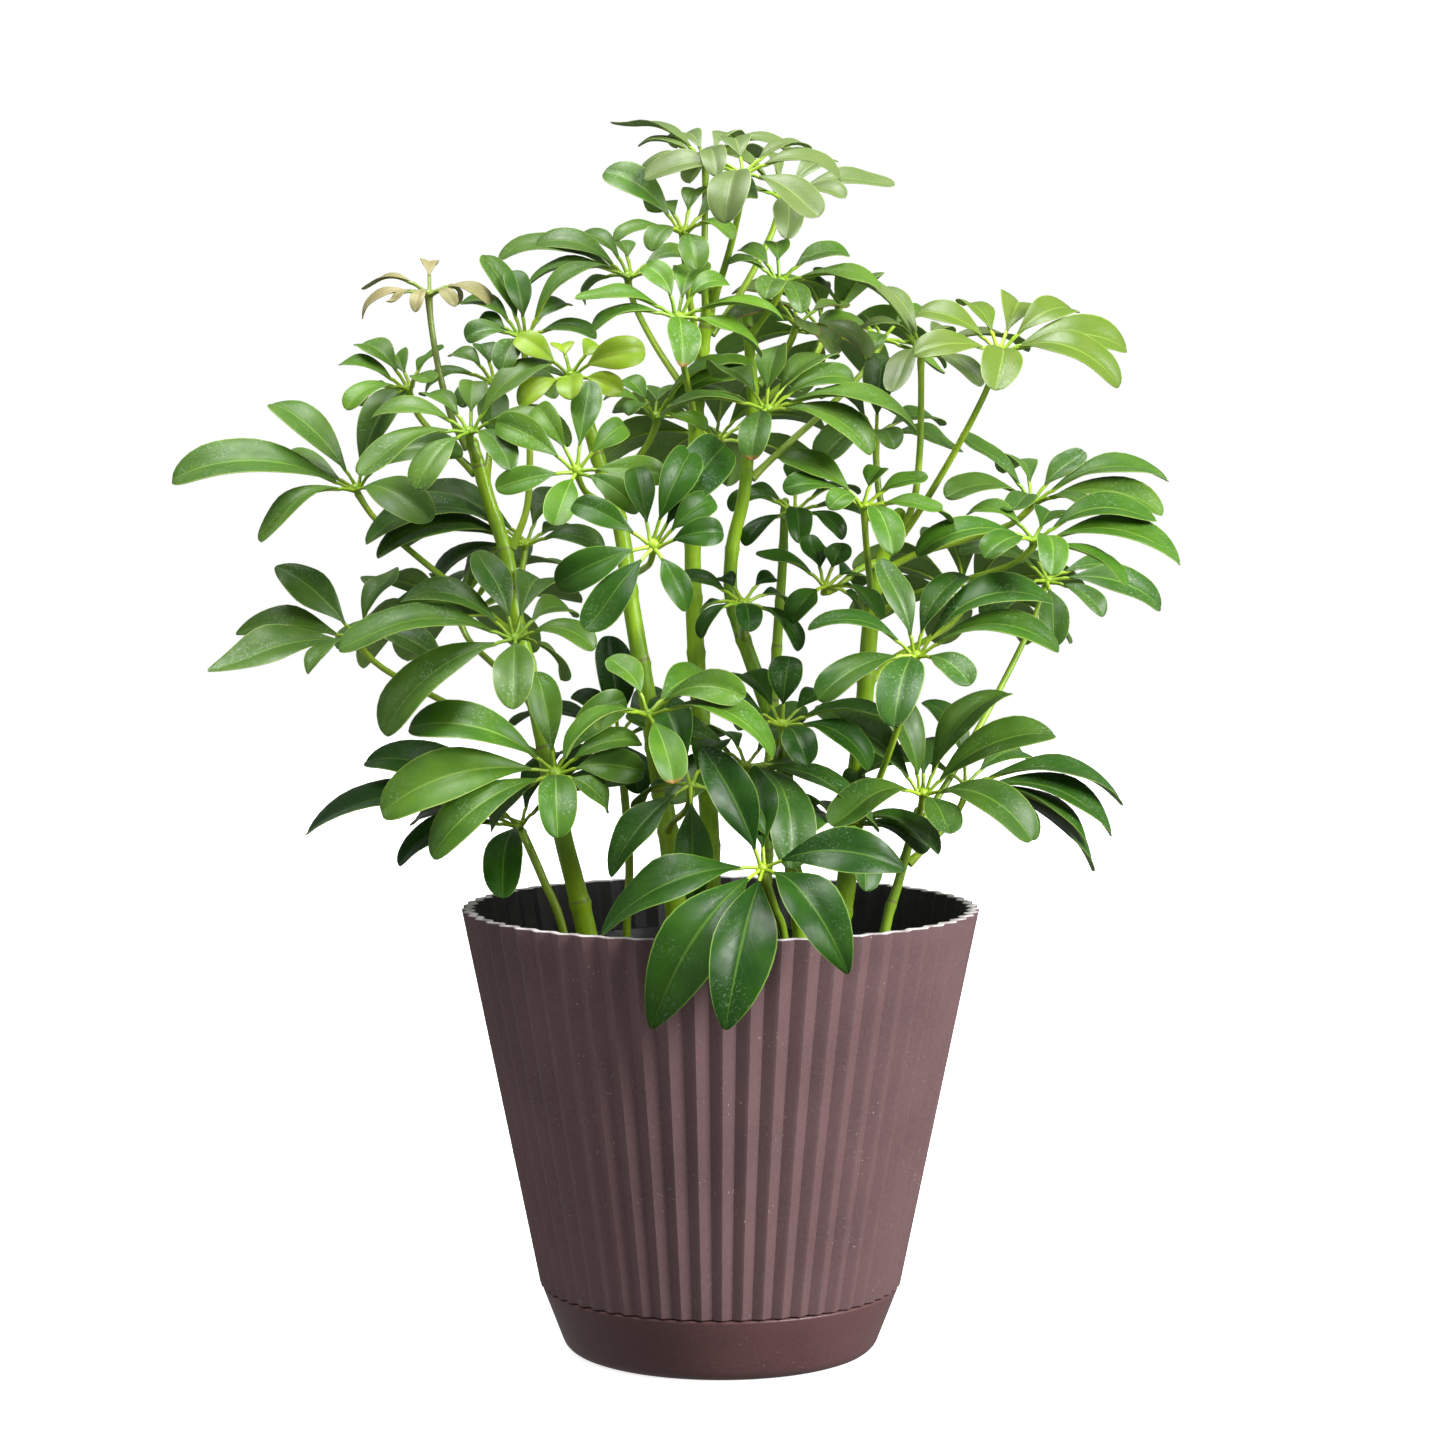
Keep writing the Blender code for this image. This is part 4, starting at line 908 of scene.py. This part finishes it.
def leaf_piece(node, skin, stalk, slot):
    """A whole leaf in its solid's place: petiole, hub and all its leaflets."""
    centre, facing, petiole, leaflets = leaf_parts(node)
    rng = random.Random(node)
    growth = Growth()
    foliage = cad_box[1][2] - FOLIAGE_LOW
    # Tone rises with the hub's height: lower leaves are painted darker as painted shade.
    base = TONE_LOW + PAINTED_SHADE_RISE * (centre.z - FOLIAGE_LOW) / foliage + rng.uniform(-0.15, 0.25)
    pointed = POINTEDNESS if node in POINTED else 0.0
    limp = LIMP if slot == "leaf_bronze" else 0.0
    lowest = min(rings[3][0].z for begin, rings in leaflets)
    for begin, rings in leaflets:
        tone = min(max(base + rng.uniform(-0.25, 0.25), 0.0), 1.0)
        dry = 1.0 if node in DRY_TIPPED and rings[3][0].z == lowest else 0.0
        add_leaflet(growth, begin, rings, facing, tone, pointed, dry, limp, rng)
    hub_r = max((begin - centre).length for begin, rings in leaflets)
    line = [(centre + facing * rise * MM, hub_r * share) for rise, share in HUB_PROFILE]
    down = ring_line(petiole)
    down = [(centre - facing * PETIOLE_TOP * MM, down[0][1])] + down
    fine = smooth_line(down, PETIOLE_STEP)
    total = len(fine) - 1
    for k, (place, girth) in enumerate(fine):
        swell = 0.35 * math.exp(-((total - k) / 1.6) ** 2) + 0.22 * math.exp(-(k / 1.6) ** 2)
        line.append((place, girth * (0.95 + swell)))
    growth.stalk(line, base)
    obj = growth.object(node + "_grown", [skin])
    grown(obj, stalk_skin, corners=PETIOLE_SIDES, bark=stalk)
    bm = bmesh.new()
    bm.from_mesh(obj.data)
    bmesh.ops.remove_doubles(bm, verts=bm.verts[:], dist=WELD)
    bm.to_mesh(obj.data)
    bm.free()
    obj.data.shade_smooth()
    obj.data.set_sharp_from_angle(angle=math.radians(LEAF_CREASE))
    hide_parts(node)
    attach(obj, "root")


DRY_BROWN = (0.34, 0.15, 0.04)
WATER_SPOT = (0.4, 0.52, 0.36)


def leaf_skin(name, light, dark, under, vein, margin, gloss, specular, dust):
    """A leaflet's skin: cloudy green, pale midrib, side veins and margin, and a duller, paler underside, its
    green lifted as painted light shining through.
    """
    mat, tree, shader = surface(name, light, gloss, specular)
    blade_map = put(tree, "ShaderNodeUVMap", uv_map="blade").outputs[0]
    flat = put(tree, "ShaderNodeSeparateXYZ", {0: blade_map})
    length = flat.outputs["X"]
    from_rib = sum_of(tree, "ABSOLUTE", sum_of(tree, "SUBTRACT", flat.outputs["Y"], 0.5))
    off = sum_of(tree, "MULTIPLY", from_rib, 2.0)
    tone = carried(tree, "tone")
    below = carried(tree, "under")
    cloud = noise(tree, 75.0, 3.0)
    share = sum_of(tree, "MULTIPLY_ADD", cloud, 0.9, sum_of(tree, "MULTIPLY", tone, 0.75))
    colour = blended(tree, between(tree, share, 0.45, 1.15), dark, light)
    # The underside colour: its own paler green, lifted as painted light for light shining through the leaf
    # and from below.
    colour = blended(tree, below, colour, under)
    slant = sum_of(tree, "MULTIPLY_ADD", off, -0.3, length)
    comb = sum_of(tree, "SINE", sum_of(tree, "MULTIPLY", slant, 66.0))
    side_vein = sum_of(tree, "MULTIPLY", between(tree, comb, 0.72, 1.0), between(tree, off, 0.95, 0.2))
    colour = blended(tree, sum_of(tree, "MULTIPLY", side_vein, 0.07), colour, vein)
    rib_edge = sum_of(tree, "MULTIPLY_ADD", length, -0.055, 0.085)
    rib = between(tree, sum_of(tree, "DIVIDE", off, rib_edge), 1.0, 0.55, 0.0, 0.62)
    colour = blended(tree, rib, colour, vein)
    rim = between(tree, off, 0.945, 0.985, 0.0, 0.75)
    colour = blended(tree, rim, colour, margin)
    dry = sum_of(tree, "MULTIPLY", carried(tree, "mark"), between(tree, length, 0.94, 1.0))
    colour = blended(tree, dry, colour, DRY_BROWN)
    fleck = between(tree, noise(tree, 1000.0, 3.0, 0.7), 0.54, 0.66, 0.0, dust)
    patch = between(tree, noise(tree, 70.0, 3.0), 0.45, 0.66)
    colour = blended(tree, sum_of(tree, "MULTIPLY", fleck, patch), colour, WATER_SPOT)
    tree.links.new(colour, shader.inputs["Base Color"])
    patchy = between(tree, noise(tree, 160.0, 4.0), 0.3, 0.75, gloss - 0.05, gloss + 0.14)
    tree.links.new(between(tree, below, 0.0, 1.0, patchy, 0.62), shader.inputs["Roughness"])
    lumps = sum_of(tree, "MULTIPLY", noise(tree, 130.0, 2.0), 0.5)
    height = sum_of(tree, "MULTIPLY_ADD", side_vein, -0.25, lumps)
    height = sum_of(tree, "MULTIPLY_ADD", rib, -0.6, height)
    relief(tree, shader, height, 0.4, 0.22 * MM)
    return mat


def green_stalk(name, light, dark):
    """Petiole, petiolule and hub skin, brighter than the blades."""
    mat, tree, shader = surface(name, light, 0.36)
    tone = blended(tree, between(tree, noise(tree, 60.0, 3.0), 0.35, 0.65), dark, light)
    tree.links.new(tone, shader.inputs["Base Color"])
    relief(tree, shader, noise(tree, 600.0, 2.0), 0.12, 0.15 * MM)
    return mat


# slot: blade light, dark, underside, veins, margin, roughness, specular level, dust
LOOKS = {
    "leaf_deep": ((0.082, 0.168, 0.016), (0.023, 0.084, 0.005), (0.16, 0.29, 0.055), (0.15, 0.27, 0.04),
                  (0.27, 0.38, 0.08), 0.4, 0.31, 0.38),
    "leaf_dark": ((0.031, 0.095, 0.006), (0.009, 0.042, 0.003), (0.11, 0.21, 0.04), (0.08, 0.16, 0.022),
                  (0.18, 0.3, 0.05), 0.34, 0.17, 0.16),
    "leaf_fresh": ((0.105, 0.225, 0.014), (0.036, 0.116, 0.006), (0.17, 0.3, 0.06), (0.2, 0.34, 0.05),
                   (0.31, 0.43, 0.085), 0.4, 0.3, 0.36),
    "leaf_pale": ((0.113, 0.168, 0.042), (0.072, 0.128, 0.026), (0.19, 0.28, 0.08), (0.22, 0.31, 0.09),
                  (0.28, 0.37, 0.11), 0.4, 0.42, 0.15),
    "leaf_bright": ((0.11, 0.17, 0.018), (0.08, 0.15, 0.008), (0.2, 0.31, 0.035), (0.2, 0.3, 0.05),
                    (0.25, 0.34, 0.06), 0.36, 0.42, 0.08),
    "leaf_yellow": ((0.27, 0.41, 0.014), (0.14, 0.28, 0.01), (0.27, 0.38, 0.04), (0.28, 0.34, 0.05),
                    (0.33, 0.29, 0.05), 0.4, 0.36, 0.03),
    "leaf_bronze": ((0.3, 0.26, 0.12), (0.19, 0.2, 0.07), (0.31, 0.27, 0.15), (0.3, 0.19, 0.09),
                    (0.25, 0.17, 0.07), 0.45, 0.3, 0.0),
    "leaf_red_edge": ((0.09, 0.16, 0.022), (0.045, 0.1, 0.012), (0.15, 0.23, 0.06), (0.18, 0.25, 0.055),
                      (0.28, 0.08, 0.03), 0.4, 0.34, 0.3),
}
STALKS = {
    "green": green_stalk("petiole_green", (0.37, 0.54, 0.03), (0.2, 0.36, 0.018)),
    "bronze": green_stalk("petiole_bronze", (0.22, 0.28, 0.05), (0.17, 0.27, 0.035)),
}
skins = {slot: leaf_skin(slot + "_skin", *row) for slot, row in LOOKS.items()}
slot_of = {row["node"]: row["material_slot"] for row in frame["record"]["subparts"]}
for leaf_name in LEAF_NAMES:
    slot = slot_of[leaf_name]
    # Leaves in SHADED take the dark skin: painted shade.
    skin = skins["leaf_dark" if leaf_name in SHADED else slot]
    leaf_piece(leaf_name, skin, STALKS["bronze" if slot == "leaf_bronze" else "green"], slot)


# Studio: a pale floor under a white dome. Large soft lights shine from above and from the right, and a
# weak one from the left takes the darkness out of the shadows.
FLOOR_R = 3.0
DOME_R = 9.0


def studio_surface(name, colour, glow):
    """A plain white surface that glows, so that it shows no shade."""
    mat, tree, shader = surface(name, colour, 0.9, 0.1)
    shader.inputs["Emission Color"].default_value = (1.0, 1.0, 1.0, 1.0)
    shader.inputs["Emission Strength"].default_value = glow
    return mat


def studio_round(name, radius, make):
    """A round piece of the studio about the pot's foot."""
    bm = bmesh.new()
    make(bm, radius)
    mesh = bpy.data.meshes.new(name)
    bm.to_mesh(mesh)
    bm.free()
    obj = bpy.data.objects.new(name, mesh)
    bpy.context.scene.collection.objects.link(obj)
    return obj


floor = studio_round("floor", FLOOR_R,
                     lambda bm, r: bmesh.ops.create_circle(bm, cap_ends=True, segments=96, radius=r))
floor.data.materials.append(studio_surface("pale_floor", (0.9, 0.9, 0.9), 0.8))
floor.visible_diffuse = False
floor.visible_glossy = False
dome = studio_round("dome", DOME_R,
                    lambda bm, r: bmesh.ops.create_uvsphere(bm, u_segments=48, v_segments=24, radius=r))
dome.data.materials.append(studio_surface("white_dome", (0.0, 0.0, 0.0), 1.0))
dome.visible_diffuse = False
dome.visible_glossy = False
dome.visible_shadow = False

world = bpy.data.worlds.new("studio")
world.use_nodes = True
world.node_tree.nodes["Background"].inputs[0].default_value = (1.0, 1.0, 1.0, 1.0)
world.node_tree.nodes["Background"].inputs[1].default_value = 0.3
bpy.context.scene.world = world
bpy.context.scene.view_settings.view_transform = "Standard"


def soft_light(name, place, aim, size, power):
    """A square area light at a place, turned to a point, with its side in metres and its power in watts."""
    data = bpy.data.lights.new(name, "AREA")
    data.size = size
    data.energy = power
    lamp = bpy.data.objects.new(name, data)
    lamp.location = place
    lamp.rotation_euler = (Vector(aim) - Vector(place)).to_track_quat("-Z", "Y").to_euler()
    bpy.context.scene.collection.objects.link(lamp)


soft_light("key", (1.8, -1.2, 1.3), (0.0, 0.0, 0.2), 1.1, 120.0)
soft_light("fill", (-1.8, -1.6, 0.9), (0.0, 0.0, 0.25), 1.6, 5.0)
soft_light("top", (-0.6, -0.4, 3.4), (0.0, 0.0, 0.3), 1.8, 165.0)

# The photograph's viewpoint: a long lens a little above the pot's rim, looking slightly down.
EYE = (0.0, -1.579, 0.3813)
LOOK_DOWN = 4.55
PHOTO_SIDE = 1445
FOCAL_PX = 3918
SENSOR_MM = 36.0
PRINCIPAL_X = 720.5
camera = bpy.data.objects.new("camera", bpy.data.cameras.new("camera"))
bpy.context.scene.collection.objects.link(camera)
camera.location = EYE
camera.rotation_euler = (math.radians(90.0 - LOOK_DOWN), 0.0, 0.0)
camera.data.sensor_width = SENSOR_MM
camera.data.lens = SENSOR_MM * FOCAL_PX / PHOTO_SIDE
camera.data.shift_x = (PHOTO_SIDE / 2.0 - PRINCIPAL_X) / PHOTO_SIDE
bpy.context.scene.camera = camera
